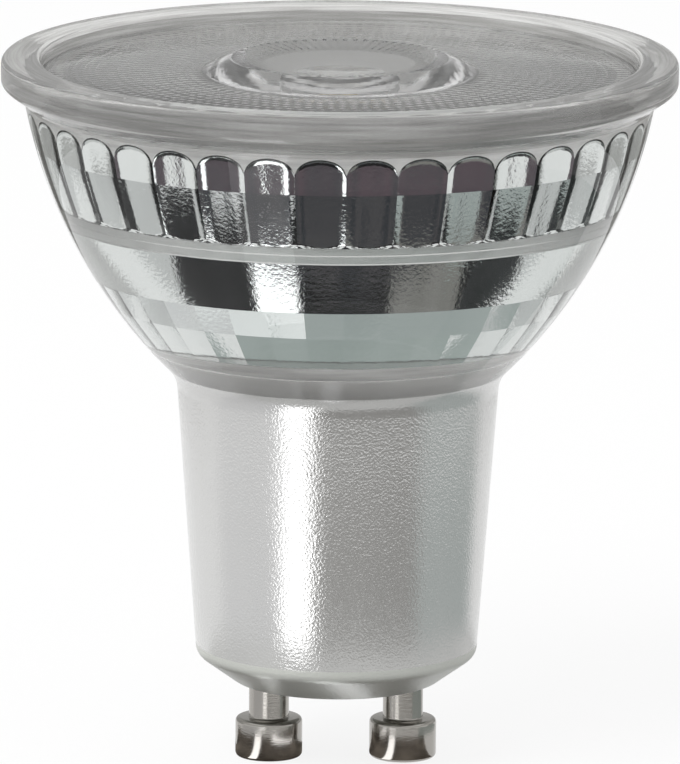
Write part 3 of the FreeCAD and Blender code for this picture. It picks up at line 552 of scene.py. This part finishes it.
def smooth_by_angle(piece, degrees):
    select_only(piece)
    bpy.ops.object.shade_smooth_by_angle(angle=math.radians(degrees), keep_sharp_edges=True)


# %% Sharp lines between flutes and facets
LINE_SLACK, LEVEL_SLACK, GLASS_SMOOTH = 0.05, 0.001, 28


def on_flute_line(turn):
    return abs(math.remainder(turn - FLUTE_TURN, PITCH)) < LINE_SLACK


def pressed_edge(a, b):
    upright = on_flute_line(a[2]) and on_flute_line(b[2]) and abs(a[1] - b[1]) > SLACK
    inner = is_inside(a[0], a[1]) and is_inside(b[0], b[1])
    fluted = min(a[1], b[1]) > FLUTE_LOW_Z - SLACK and max(a[1], b[1]) < LENS_SEAT_Z - SLACK
    faceted = min(a[1], b[1]) > FACET_LOW_Z - SLACK and max(a[1], b[1]) < FACET_TOP_Z + SLACK
    level = abs(a[1] - b[1]) < LEVEL_SLACK
    ring = level and min(abs(a[1] - z) for z in (FLUTE_BREAK_Z, FACET_BREAK_Z, FACET_TOP_Z, FACET_LOW_Z)) < SLACK
    return inner and ((upright and (fluted or faceted)) or ring)


mark_sharp_edges(glass_body, lambda a, b: max(a[1], b[1]) > FACET_LOW_Z - SLACK and pressed_edge(a, b))
smooth_by_angle(glass_body, GLASS_SMOOTH)
print("Sharp edges:", sum(edge.use_edge_sharp for edge in glass_body.data.edges))

# %% [markdown]
# ## Silver, haze and frost on one body
# Silver, satin, frost and haze all lie on this one piece of glass. It could be cut into a piece for each, but cuts
# show in clear glass as seams. So the body stays whole, and each face gets its finish by where it lies.

# %% Where each glass finish goes
RIM_FINISH_Z = MOUTH_Z - 0.3
glass_body.data.materials.clear()
for finish in glass_finishes:
    glass_body.data.materials.append(finish)
for face in glass_body.data.polygons:
    x, y, z = face.center / MM
    radius = math.hypot(x, y)
    inner = is_inside(radius, z)
    if z > LENS_SEAT_Z - SLACK or (z > RIM_FINISH_Z and not inner):
        face.material_index = RIM
    # Painted light: the land above the arches gets the pale glass.
    elif face.index in above_arches:
        face.material_index = PAINTED_LIGHT
    elif inner and ledge_z - SLACK < z < FLUTE_LOW_Z:
        face.material_index = SATIN
    elif inner and z > FACET_LOW_Z - SLACK:
        face.material_index = BRIGHT
    elif z < SATIN_LOW_Z:
        face.material_index = FROSTED
    # Painted light: the inner throat wall gets the pale glass.
    elif inner and z > INNER_SATIN_TOP_Z:
        face.material_index = PAINTED_LIGHT
    elif inner or z < SATIN_TOP_Z or abs(z - MOULD_LINE_Z) < MOULD_LINE_HALF:
        face.material_index = SATIN
    elif z < MOULD_LINE_Z:
        face.material_index = HAZY
    else:
        face.material_index = CLEAR
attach(glass_body, "root")
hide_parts("glass_reflector")
used = [face.material_index for face in glass_body.data.polygons]
print("Faces of each glass finish:", [used.count(index) for index in range(len(glass_finishes))])

# %% [markdown]
# ## The lens
# A moulded clear plastic disc closes the mouth. A dished crown stands in its middle above a cone that gathers
# the light, and its underside is covered with rings of tiny beads that spread it. A bump in the finish could
# stand in for the beads, but real ones stay in the mesh itself. So the disc is spun, and the beads are raised on
# the spun rows, each ring set off from the one before it.

# %% Lens outline
BOND_GAP = 0.2
LENS_RADIUS = seat_radius - BOND_GAP - SKIN_GAP
LENS_FACE_Z, LENS_LOW_Z = 52.0, LENS_SEAT_Z + SKIN_GAP
CROWN_RADIUS, CREST_RADIUS, DISH_RADIUS = 10.2, 8.1, 5.5
CREST_Z, DISH_Z = 52.95, 52.55
FOOT_RADIUS, FOOT_Z, POCKET_RADIUS, POCKET_Z, POCKET_LOW_Z = 4.6, 43.95, 3.5, 47.35, 46.45
BEAD_FIRST, BEAD_LAST, BEAD_PITCH, BEAD_HEIGHT = 10.6, 20.5, 0.82, 0.07
ROWS_PER_BEAD, LENS_STEPS = 5, 720
CONE_SWELL, SWELL_OUT, SWELL_DOWN, CONE_STEPS, POCKET_STEPS = 0.9, 0.8, 0.6, 10, 6
EDGE_ROUND, CROWN_ROUND, CREST_ROUND, DISH_ROUND, BEAD_LEAD = 0.15, 0.5, 0.35, 0.3, 0.05

lens_outline = [(0, POCKET_LOW_Z)]
for step in range(1, POCKET_STEPS + 1):
    reach = POCKET_RADIUS * step / POCKET_STEPS
    lens_outline.append((reach, POCKET_LOW_Z + (POCKET_Z - POCKET_LOW_Z) * (reach / POCKET_RADIUS) ** 2))
lens_outline += [(POCKET_RADIUS, FOOT_Z), (FOOT_RADIUS, FOOT_Z)]
for step in range(1, CONE_STEPS + 1):
    share = step / CONE_STEPS
    swell = 4 * CONE_SWELL * share * (1 - share)
    lens_outline.append((
        FOOT_RADIUS + (CROWN_RADIUS - FOOT_RADIUS) * share + swell * SWELL_OUT,
        FOOT_Z + (LENS_LOW_Z - FOOT_Z) * share - swell * SWELL_DOWN,
    ))
bead_rings = round((BEAD_LAST - BEAD_FIRST) / BEAD_PITCH)
lens_outline += between((BEAD_FIRST - BEAD_LEAD, LENS_LOW_Z), (BEAD_LAST, LENS_LOW_Z), bead_rings * ROWS_PER_BEAD)
lens_edge_low, lens_edge_top = (LENS_RADIUS, LENS_LOW_Z), (LENS_RADIUS, LENS_FACE_Z)
crown_foot, crest, dish = (CROWN_RADIUS, LENS_FACE_Z), (CREST_RADIUS, CREST_Z), (DISH_RADIUS, DISH_Z)
wall_foot = (DISH_RADIUS + 0.35, DISH_Z + 0.105)
lens_outline += [lens_edge_low]
lens_outline += corner_round(lens_edge_low, lens_edge_top, crown_foot, EDGE_ROUND, 3)
lens_outline += corner_round(lens_edge_top, crown_foot, crest, CROWN_ROUND, 4)
lens_outline += corner_round(crown_foot, crest, dish, CREST_ROUND, 5)
lens_outline += between(lens_outline[-1], wall_foot, 4)
lens_outline += corner_round(crest, dish, (0, DISH_Z), DISH_ROUND, 3)
lens_outline += [(DISH_RADIUS / 2, DISH_Z), (0, DISH_Z)]
print("Lens outline:", len(lens_outline), "points,", bead_rings, "bead rings")

# %% Lens with its beads
lens = spin_closed(draw_outline("beaded_lens", lens_outline), LENS_STEPS)
WALL_BEADS, WALL_BEAD_HEIGHT, WALL_MARGIN, LENS_SMOOTH = 64, 0.05, 0.1, 40
for vertex in lens.data.vertices:
    x, y, z = vertex.co / MM
    radius, turn = math.hypot(x, y), math.atan2(y, x)
    if abs(z - LENS_LOW_Z) < LEVEL_SLACK and BEAD_FIRST < radius < BEAD_LAST:
        ring = int((radius - BEAD_FIRST) / BEAD_PITCH)
        along = (radius - BEAD_FIRST) / BEAD_PITCH - ring
        count = round(2 * math.pi * (BEAD_FIRST + (ring + 0.5) * BEAD_PITCH) / BEAD_PITCH)
        round_in = math.sin(math.pi * along)
        round_on = math.cos(turn * count + math.pi * (ring % 2)) * 0.5 + 0.5
        vertex.co.z += BEAD_HEIGHT * round_in * round_on * MM
    elif DISH_RADIUS + WALL_MARGIN < radius < CREST_RADIUS - WALL_MARGIN and z > DISH_Z + SKIN_GAP:
        vertex.co.z += WALL_BEAD_HEIGHT * math.cos(turn * WALL_BEADS) * MM
smooth_by_angle(lens, LENS_SMOOTH)
print("Lens faces:", len(lens.data.polygons))

# %% Lens finish
lens_plastic = new_finish("lens_plastic", (0.9, 0.9, 0.9), Roughness=0.02, IOR=1.49, Transmission_Weight=0.96)
bump(lens_plastic, ring_streaks(lens_plastic, 0.4, 3.0, 1.2), 0.025)
lens.data.materials.append(lens_plastic)
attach(lens, "root")
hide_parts("front_lens")
print(lens.name, "has the finish", lens_plastic.name)

# %% [markdown]
# ## The contact pins
# Each pin is turned from brass and nickel plated: a headed tip that turns in a keyhole slot, a shank through the
# glass and a riveted end inside. Cylinders could be stacked for it, but one spun outline rounds every corner as
# turning does. The pin is modelled once on the lamp's axis and copied, and both are then moved to their places.

# %% Outline of a pin
HEAD_RADIUS, HEAD_Z, SHANK_RADIUS, PIN_STEPS, PIN_SMOOTH = 2.5, 3.0, 1.5, 72, 35
RIVET_LOW_Z, RIVET_TOP_Z, RIVET_RADIUS, BORE_RADIUS = FLOOR_Z + 0.5, FLOOR_Z + 1.2, 2.1, 0.5

# radius, height and rounding of each corner
pin_corners = [
    (0, 0, 0), (HEAD_RADIUS, 0, 0.32), (HEAD_RADIUS, HEAD_Z, 0.34), (SHANK_RADIUS, HEAD_Z, 0.12),
    (SHANK_RADIUS, RIVET_LOW_Z, 0.05), (RIVET_RADIUS, RIVET_LOW_Z, 0.1), (RIVET_RADIUS - 0.3, RIVET_TOP_Z, 0.12),
    (BORE_RADIUS, RIVET_TOP_Z, 0.05), (BORE_RADIUS, FLOOR_Z, 0.05), (0, FLOOR_Z, 0),
]
pin_outline = [pin_corners[0][:2]]
for before, here, after in zip(pin_corners, pin_corners[1:], pin_corners[2:]):
    pin_outline += corner_round(before[:2], here[:2], after[:2], here[2], 5)
pin_outline.append(pin_corners[-1][:2])
print("Pin outline:", len(pin_outline), "points")

# %% Two pins
nickel = new_finish("nickel", (0.38, 0.365, 0.34), Metallic=1.0, Roughness=0.16)
bump(nickel, noise(nickel, 0.4, 3.0, (1, 1, 4)), 0.006)


def shift(piece, x):
    """Move a piece's mesh sideways, and leave its object at the origin."""
    select_only(piece)
    bpy.ops.object.mode_set(mode="EDIT")
    bpy.ops.mesh.select_all(action="SELECT")
    bpy.ops.transform.translate(value=(x * MM, 0, 0))
    object_mode()


live_pin = spin_closed(draw_outline("turned_pin_live", pin_outline), PIN_STEPS)
smooth_by_angle(live_pin, PIN_SMOOTH)
live_pin.data.materials.append(nickel)
neutral_pin = live_pin.copy()
neutral_pin.data = live_pin.data.copy()
neutral_pin.name = neutral_pin.data.name = "turned_pin_neutral"
bpy.context.scene.collection.objects.link(neutral_pin)
for pin, x, node in ((live_pin, PIN_X, "contact_pin_live"), (neutral_pin, -PIN_X, "contact_pin_neutral")):
    shift(pin, x)
    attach(pin, "root")
    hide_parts(node)
    print(pin.name, "stands at", x, "mm")

# %% [markdown]
# ## Finishes of the inner parts
# The emitter board shows through the lens, and the driver parts sit inside the silvered neck. Finer meshes could
# replace them too, but hardly an edge of them is ever seen, so they keep their CAD meshes and get finishes of their
# own.

# %% Inner finishes
def mottled(name, first, second, size_mm, height_mm, **sockets):
    """Finish with a soft change of colour and a fine grain."""
    material = new_finish(name, first, **sockets)
    tone(material, noise(material, size_mm, 3.0), first, second)
    bump(material, noise(material, size_mm / 4, 2.0), height_mm)
    return material


inner_finishes = {
    "silicone": mottled("clear_silicone", (0.96, 0.96, 0.95), (0.92, 0.92, 0.91), 1.0, 0.01,
                        Roughness=0.15, IOR=1.41, Transmission_Weight=1.0),
    "board_white": mottled("white_mask", (0.72, 0.72, 0.7), (0.66, 0.66, 0.65), 2.0, 0.01, Roughness=0.4),
    "emitter_white": mottled("emitter_white", (0.8, 0.8, 0.78), (0.74, 0.74, 0.72), 1.0, 0.005, Roughness=0.45),
    "phosphor": mottled("phosphor_gel", (0.85, 0.62, 0.12), (0.78, 0.54, 0.1), 0.5, 0.004, Roughness=0.35),
    "aluminium": mottled("pressed_aluminium", (0.72, 0.73, 0.74), (0.64, 0.65, 0.66), 1.5, 0.01,
                         Metallic=1.0, Roughness=0.38),
    "bush_plastic": mottled("bush_nylon", (0.75, 0.74, 0.7), (0.68, 0.67, 0.63), 1.0, 0.01, Roughness=0.5),
    "tinned_copper": mottled("tinned_copper", (0.72, 0.7, 0.67), (0.6, 0.58, 0.55), 0.6, 0.01,
                             Metallic=1.0, Roughness=0.3),
    "circuit_green": mottled("circuit_green", (0.03, 0.16, 0.07), (0.05, 0.2, 0.09), 1.2, 0.01, Roughness=0.42),
    "can_sleeve": mottled("can_sleeve", (0.02, 0.025, 0.03), (0.035, 0.04, 0.05), 1.0, 0.008, Roughness=0.35),
    "film_yellow": mottled("film_yellow", (0.72, 0.5, 0.06), (0.64, 0.43, 0.05), 1.0, 0.01, Roughness=0.5),
    "ferrite": mottled("ferrite", (0.03, 0.03, 0.032), (0.05, 0.05, 0.052), 0.6, 0.015, Roughness=0.55),
    "copper_wire": mottled("copper_wire", (0.62, 0.28, 0.13), (0.5, 0.2, 0.09), 0.4, 0.02,
                           Metallic=1.0, Roughness=0.3),
    "moulded_black": mottled("moulded_black", (0.025, 0.025, 0.027), (0.04, 0.04, 0.042), 0.6, 0.01, Roughness=0.55),
    "resistor_coat": mottled("resistor_coat", (0.2, 0.32, 0.42), (0.16, 0.27, 0.37), 0.6, 0.01, Roughness=0.5),
    "washer_steel": mottled("washer_steel", (0.6, 0.6, 0.6), (0.5, 0.5, 0.5), 0.8, 0.01,
                            Metallic=1.0, Roughness=0.35),
}
inner_finishes["clear_glass"] = clear_glass
inner_finishes["lens_plastic"] = lens_plastic
inner_finishes["nickel"] = nickel
print("Finishes by slot:", len(inner_finishes))

# %% Dress the CAD nodes
for part in frame["record"]["subparts"]:
    mesh = frame["nodes"][part["node"]].data
    mesh.materials.clear()
    mesh.materials.append(inner_finishes[part["material_slot"]])

# %% [markdown]
# ## The studio
# Glass and silver show only what stands around them. The camera, clear pieces and silver see a plain white room,
# and matt surfaces get a little less light from it, so that pale ones keep their tone. Cards lie on the floor:
# dark ones give its flutes and band their dark bars, with one bright strip and one grey card between them, and
# pale ones light the facets. A real card would mirror in the outer skin and show in the silver behind it at once.
# Here most cards are seen either through the glass or in mirrors alone, so the two looks can be set apart, and
# none of them hides the lamp or shades the pale floor.

# %% What the camera and clear pieces see
def seen_directly(tree):
    """1 for rays from the camera and for rays bent or mirrored by the object, else 0."""
    path = tree.nodes.new("ShaderNodeLightPath")
    total = path.outputs["Is Camera Ray"]
    for name in ("Is Glossy Ray", "Is Transmission Ray"):
        either = tree.nodes.new("ShaderNodeMath")
        either.operation = "MAXIMUM"
        tree.links.new(total, either.inputs[0])
        tree.links.new(path.outputs[name], either.inputs[1])
        total = either.outputs[0]
    return total


# %% Room light
scene = bpy.context.scene
scene.view_settings.view_transform = "Standard"
world = bpy.data.worlds.new("white_room")
scene.world = world
world.use_nodes = True
ROOM_FILL, KEY_POWER, KEY_SIZE = 0.85, 6.5, 0.7
KEY_PLACE = (-0.5, -0.5, 0.9)

level = world.node_tree.nodes.new("ShaderNodeMapRange")
world.node_tree.links.new(seen_directly(world.node_tree), level.inputs["Value"])
level.inputs["To Min"].default_value = ROOM_FILL
level.inputs["To Max"].default_value = 1.0
background = world.node_tree.nodes["Background"]
background.inputs["Color"].default_value = (1, 1, 1, 1)
world.node_tree.links.new(level.outputs["Result"], background.inputs["Strength"])

key_data = bpy.data.lights.new("soft_key", "AREA")
key_data.shape = "DISK"
key_data.size = KEY_SIZE
key_data.energy = KEY_POWER
key = bpy.data.objects.new("soft_key", key_data)
scene.collection.objects.link(key)
key.location = KEY_PLACE
key.rotation_euler = (LAMP_MIDDLE - key.location).to_track_quat("-Z", "Y").to_euler()
key.visible_glossy = False
key.visible_transmission = False
print("Room fill", ROOM_FILL, "key", KEY_POWER, "W")

# %% Floor
FLOOR_RADIUS, FLOOR_GLOW, FLOOR_TONE = 1.5, 0.85, 0.85
clear_selection()
bpy.ops.mesh.primitive_circle_add(vertices=96, radius=FLOOR_RADIUS, fill_type="NGON", location=(0, 0, 0))
floor = bpy.context.object
floor.name = "pale_floor"
pale = bpy.data.materials.new("pale_floor")
pale.use_nodes = True
tree = pale.node_tree
tree.nodes.clear()
matt = tree.nodes.new("ShaderNodeBsdfDiffuse")
matt.inputs["Color"].default_value = (FLOOR_TONE, FLOOR_TONE, FLOOR_TONE, 1)
glow = tree.nodes.new("ShaderNodeEmission")
tree.links.new(seen_directly(tree), glow.inputs["Strength"])
blend = tree.nodes.new("ShaderNodeMixShader")
blend.inputs["Fac"].default_value = FLOOR_GLOW
tree.links.new(matt.outputs[0], blend.inputs[1])
tree.links.new(glow.outputs[0], blend.inputs[2])
tree.links.new(blend.outputs[0], tree.nodes.new("ShaderNodeOutputMaterial").inputs["Surface"])
floor.data.materials.append(pale)
print("Floor radius", FLOOR_RADIUS)

# %% [markdown]
# Real card is never quite even, so each card drifts softly between two tones. Lamps could shine on the cards, but a
# plain glow keeps every tone as it is written.

# %% Finish of a card
def card_finish(name, first, second, size_mm=30.0, strength=1.0):
    """Plain glow that drifts between two tones, and lets the light of matt surfaces pass."""
    material = bpy.data.materials.new(name)
    material.use_nodes = True
    tree = material.node_tree
    tree.nodes.clear()
    colour = mix_tones(material, spread(material, noise(material, size_mm)), first, second)
    glow = add_node(material, "ShaderNodeEmission", {"Color": colour, "Strength": strength})
    path, clear = tree.nodes.new("ShaderNodeLightPath"), tree.nodes.new("ShaderNodeBsdfTransparent")
    either = add_node(material, "ShaderNodeMixShader", {
        "Fac": path.outputs["Diffuse Depth"], 1: glow.outputs[0], 2: clear.outputs[0],
    })
    tree.links.new(either.outputs[0], tree.nodes.new("ShaderNodeOutputMaterial").inputs["Surface"])
    return material


# %% Tones of the cards
dark_card = card_finish("dark_card", (0.012, 0.012, 0.012), (0.03, 0.03, 0.032))
low_card = card_finish("low_card", (0.045, 0.048, 0.056), (0.1, 0.095, 0.1), 12.0)
far_card = card_finish("far_card", (0.09, 0.085, 0.095), (0.14, 0.1, 0.118), 60.0)
grey_card = card_finish("grey_card", (0.22, 0.215, 0.2), (0.3, 0.29, 0.28), 8.0)
pale_card = card_finish("pale_card", (0.38, 0.43, 0.42), (0.5, 0.54, 0.53), 12.0)
shade_card = card_finish("shade_card", (0.38, 0.43, 0.415), (0.48, 0.53, 0.515), 10.0)
back_card = card_finish("back_card", (0.44, 0.44, 0.435), (0.6, 0.6, 0.59), 90.0)
fan_card = card_finish("fan_card", (0.08, 0.07, 0.06), (0.26, 0.23, 0.2), 4.0)
throat_card = card_finish("throat_card", (0.6, 0.6, 0.595), (0.72, 0.72, 0.71), 8.0)
side_card = card_finish("side_card", (0.62, 0.625, 0.625), (0.72, 0.725, 0.725), 20.0)
soft_card = card_finish("soft_card", (0.74, 0.74, 0.75), (0.86, 0.86, 0.87), 20.0)
light_card = card_finish("light_card", (0.95, 0.97, 0.97), (1.1, 1.12, 1.12), 20.0)
gleam_card = card_finish("gleam_card", (1, 1, 1), (0.9, 0.9, 0.92), 20.0, 3.0)
strip_card = card_finish("strip_card", (1, 1, 1), (0.85, 0.86, 0.88), 30.0, 2.2)
print("Card tones from", dark_card.name, "to", strip_card.name)

# %% Shape of a card
CARD_STEP = 4  # degrees


def ring_card(name, first, last, low, high, finish, seen, x=0.0):
    """Card swept about an upright axis from one bearing to another, through two (radius, height) points in
    millimetres. Bearings are in degrees from the camera's side, positive to its right. It is seen through
    "glass" alone, in a "mirror" alone, or in "both"."""
    card = draw_outline(name, [low, high])
    bpy.ops.mesh.select_all(action="SELECT")
    sweep = math.radians(last - first)
    bpy.ops.mesh.spin(steps=max(2, round((last - first) / CARD_STEP)), angle=-sweep, center=(0, 0, 0), axis=(0, 0, 1))
    object_mode()
    card.data.transform(Matrix.Translation((x * MM, 0, 0)) @ Matrix.Rotation(math.radians(first - 90), 4, "Z"))
    card.data.materials.append(finish)
    card.visible_camera = False
    card.visible_diffuse = False
    card.visible_shadow = False
    card.visible_transmission = seen != "mirror"
    card.visible_glossy = seen != "glass"
    return card


def floor_card(name, first, last, near, far, finish, seen, level=0.5, x=0.0):
    return ring_card(name, first, last, (near, level), (far, level), finish, seen, x)


# %% [markdown]
# The band and the flutes lean over the floor, so the nearer the card, the lower on the glass it shows: first the
# facets, then the band, and the flutes from furthest out.

# %% Cards for the silver behind the glass
INNER_NEAR, INNER_FAR = 15, 34
FLUTE_FROM, FLUTE_TO, BAND_FROM, BAND_TO = -64, 68, -80, 90
STRIP_FROM, STRIP_TO, GREY_FROM, GREY_TO = -39, -19, 24, 58
LOW_NEAR, LEFT_NEAR, BAND_NEAR, RIGHT_NEAR, BAND_FAR, FAR = 53, 66, 69, 73, 108, 190
floor_card("shade_inner", -80, 95, INNER_NEAR, INNER_FAR, shade_card, "glass")
floor_card("pale_inner", -24, 95, INNER_FAR, LOW_NEAR, pale_card, "glass")
floor_card("light_inner", -80, -24, INNER_FAR, LOW_NEAR, light_card, "glass")
floor_card("facet_left", -100, -46, LOW_NEAR, LEFT_NEAR, soft_card, "glass")
floor_card("flute_low", -46, 50, LOW_NEAR, BAND_NEAR, low_card, "glass")
floor_card("facet_right", 50, 100, LOW_NEAR, RIGHT_NEAR, pale_card, "glass")
floor_card("band_left", BAND_FROM, STRIP_FROM, LEFT_NEAR, BAND_FAR, dark_card, "glass")
floor_card("band_strip", STRIP_FROM, STRIP_TO, BAND_NEAR, BAND_FAR, strip_card, "glass")
floor_card("band_middle", STRIP_TO, GREY_FROM, BAND_NEAR, BAND_FAR, dark_card, "glass")
floor_card("band_grey", GREY_FROM, GREY_TO, BAND_NEAR, BAND_FAR, grey_card, "glass")
floor_card("band_right", GREY_TO, BAND_TO, RIGHT_NEAR, BAND_FAR, dark_card, "glass")
floor_card("side_left", -140, BAND_FROM, BAND_NEAR, BAND_FAR, side_card, "glass")
floor_card("side_right", BAND_TO, 150, BAND_NEAR, BAND_FAR, side_card, "glass")
floor_card("far_floor", FLUTE_FROM, FLUTE_TO, BAND_FAR, FAR, far_card, "glass")
floor_card("far_strip", STRIP_FROM, -29, 114, 150, strip_card, "glass", 0.8)
print("Cards for the silver reach from", INNER_NEAR, "to", FAR, "mm")

# %% [markdown]
# At its edges the glass mirrors what stands behind it. Grey cards there draw the bowl's outline against the white
# room, and a wall further back is what the flat lens mirrors.

# %% Cards behind the lamp
EDGE_NEAR, BACK_NEAR, BACK_FAR, WALL_Z = 125, 200, 420, 600
floor_card("back_floor", 96, 264, BACK_NEAR, BACK_FAR, back_card, "both")
ring_card("back_wall", 96, 264, (BACK_FAR, 0.5), (BACK_FAR, WALL_Z), back_card, "both")
floor_card("edge_right", 105, 160, EDGE_NEAR, BACK_NEAR, grey_card, "mirror")
floor_card("edge_left", 200, 255, EDGE_NEAR, BACK_NEAR, grey_card, "mirror")
print("Back wall at", BACK_FAR, "mm")

# %% [markdown]
# The neck and the pins mirror the floor straight before them. A bright strip there makes the grains of the neck
# glitter in one upright streak, with a shade to the right of it. The throat leans out over the neck and mirrors
# the floor close to the base, so two pale cards lie there. The pins stand so near the floor that they mirror only
# its first few millimetres, so each gets a fan of small cards of its own.

# %% Cards for the neck and the throat
THROAT_NEAR, THROAT_FAR, NECK_FAR = 22, 34, 100
floor_card("neck_left", -95, STRIP_FROM, INNER_NEAR, NECK_FAR, soft_card, "mirror")
floor_card("neck_strip", STRIP_FROM, -18, 28, NECK_FAR, gleam_card, "mirror")
floor_card("neck_shade", -18, 60, THROAT_FAR, NECK_FAR, grey_card, "mirror")
floor_card("throat_high", -95, 120, THROAT_NEAR + 2, THROAT_FAR, throat_card, "mirror", 0.4)
floor_card("throat_low", -95, 120, 11, THROAT_NEAR, throat_card, "mirror", BASE_Z - 0.1)
floor_card("neck_right", 60, 120, INNER_NEAR, NECK_FAR, pale_card, "mirror")
print("Cards for the neck reach to", NECK_FAR, "mm")

# %% Fans of cards for the pins
FAN_NEAR, FAN_FAR, FAN_Z, GLEAM_Z = 2.6, 14, 0.06, 0.08
for x in (-PIN_X, PIN_X):
    floor_card("pin_left", -120, -44, FAN_NEAR, FAN_FAR, fan_card, "mirror", FAN_Z, x)
    floor_card("pin_gleam", -42, -24, FAN_NEAR, FAN_FAR, gleam_card, "mirror", GLEAM_Z, x)
    floor_card("pin_middle", -22, 70, FAN_NEAR, FAN_FAR, fan_card, "mirror", FAN_Z, x)
print("Each pin has a fan of cards out to", FAN_FAR, "mm")

# %% [markdown]
# ## The end
# The lesson ends with nothing selected. The finer meshes must not outgrow the CAD model.

# %% Nothing left selected
clear_selection()
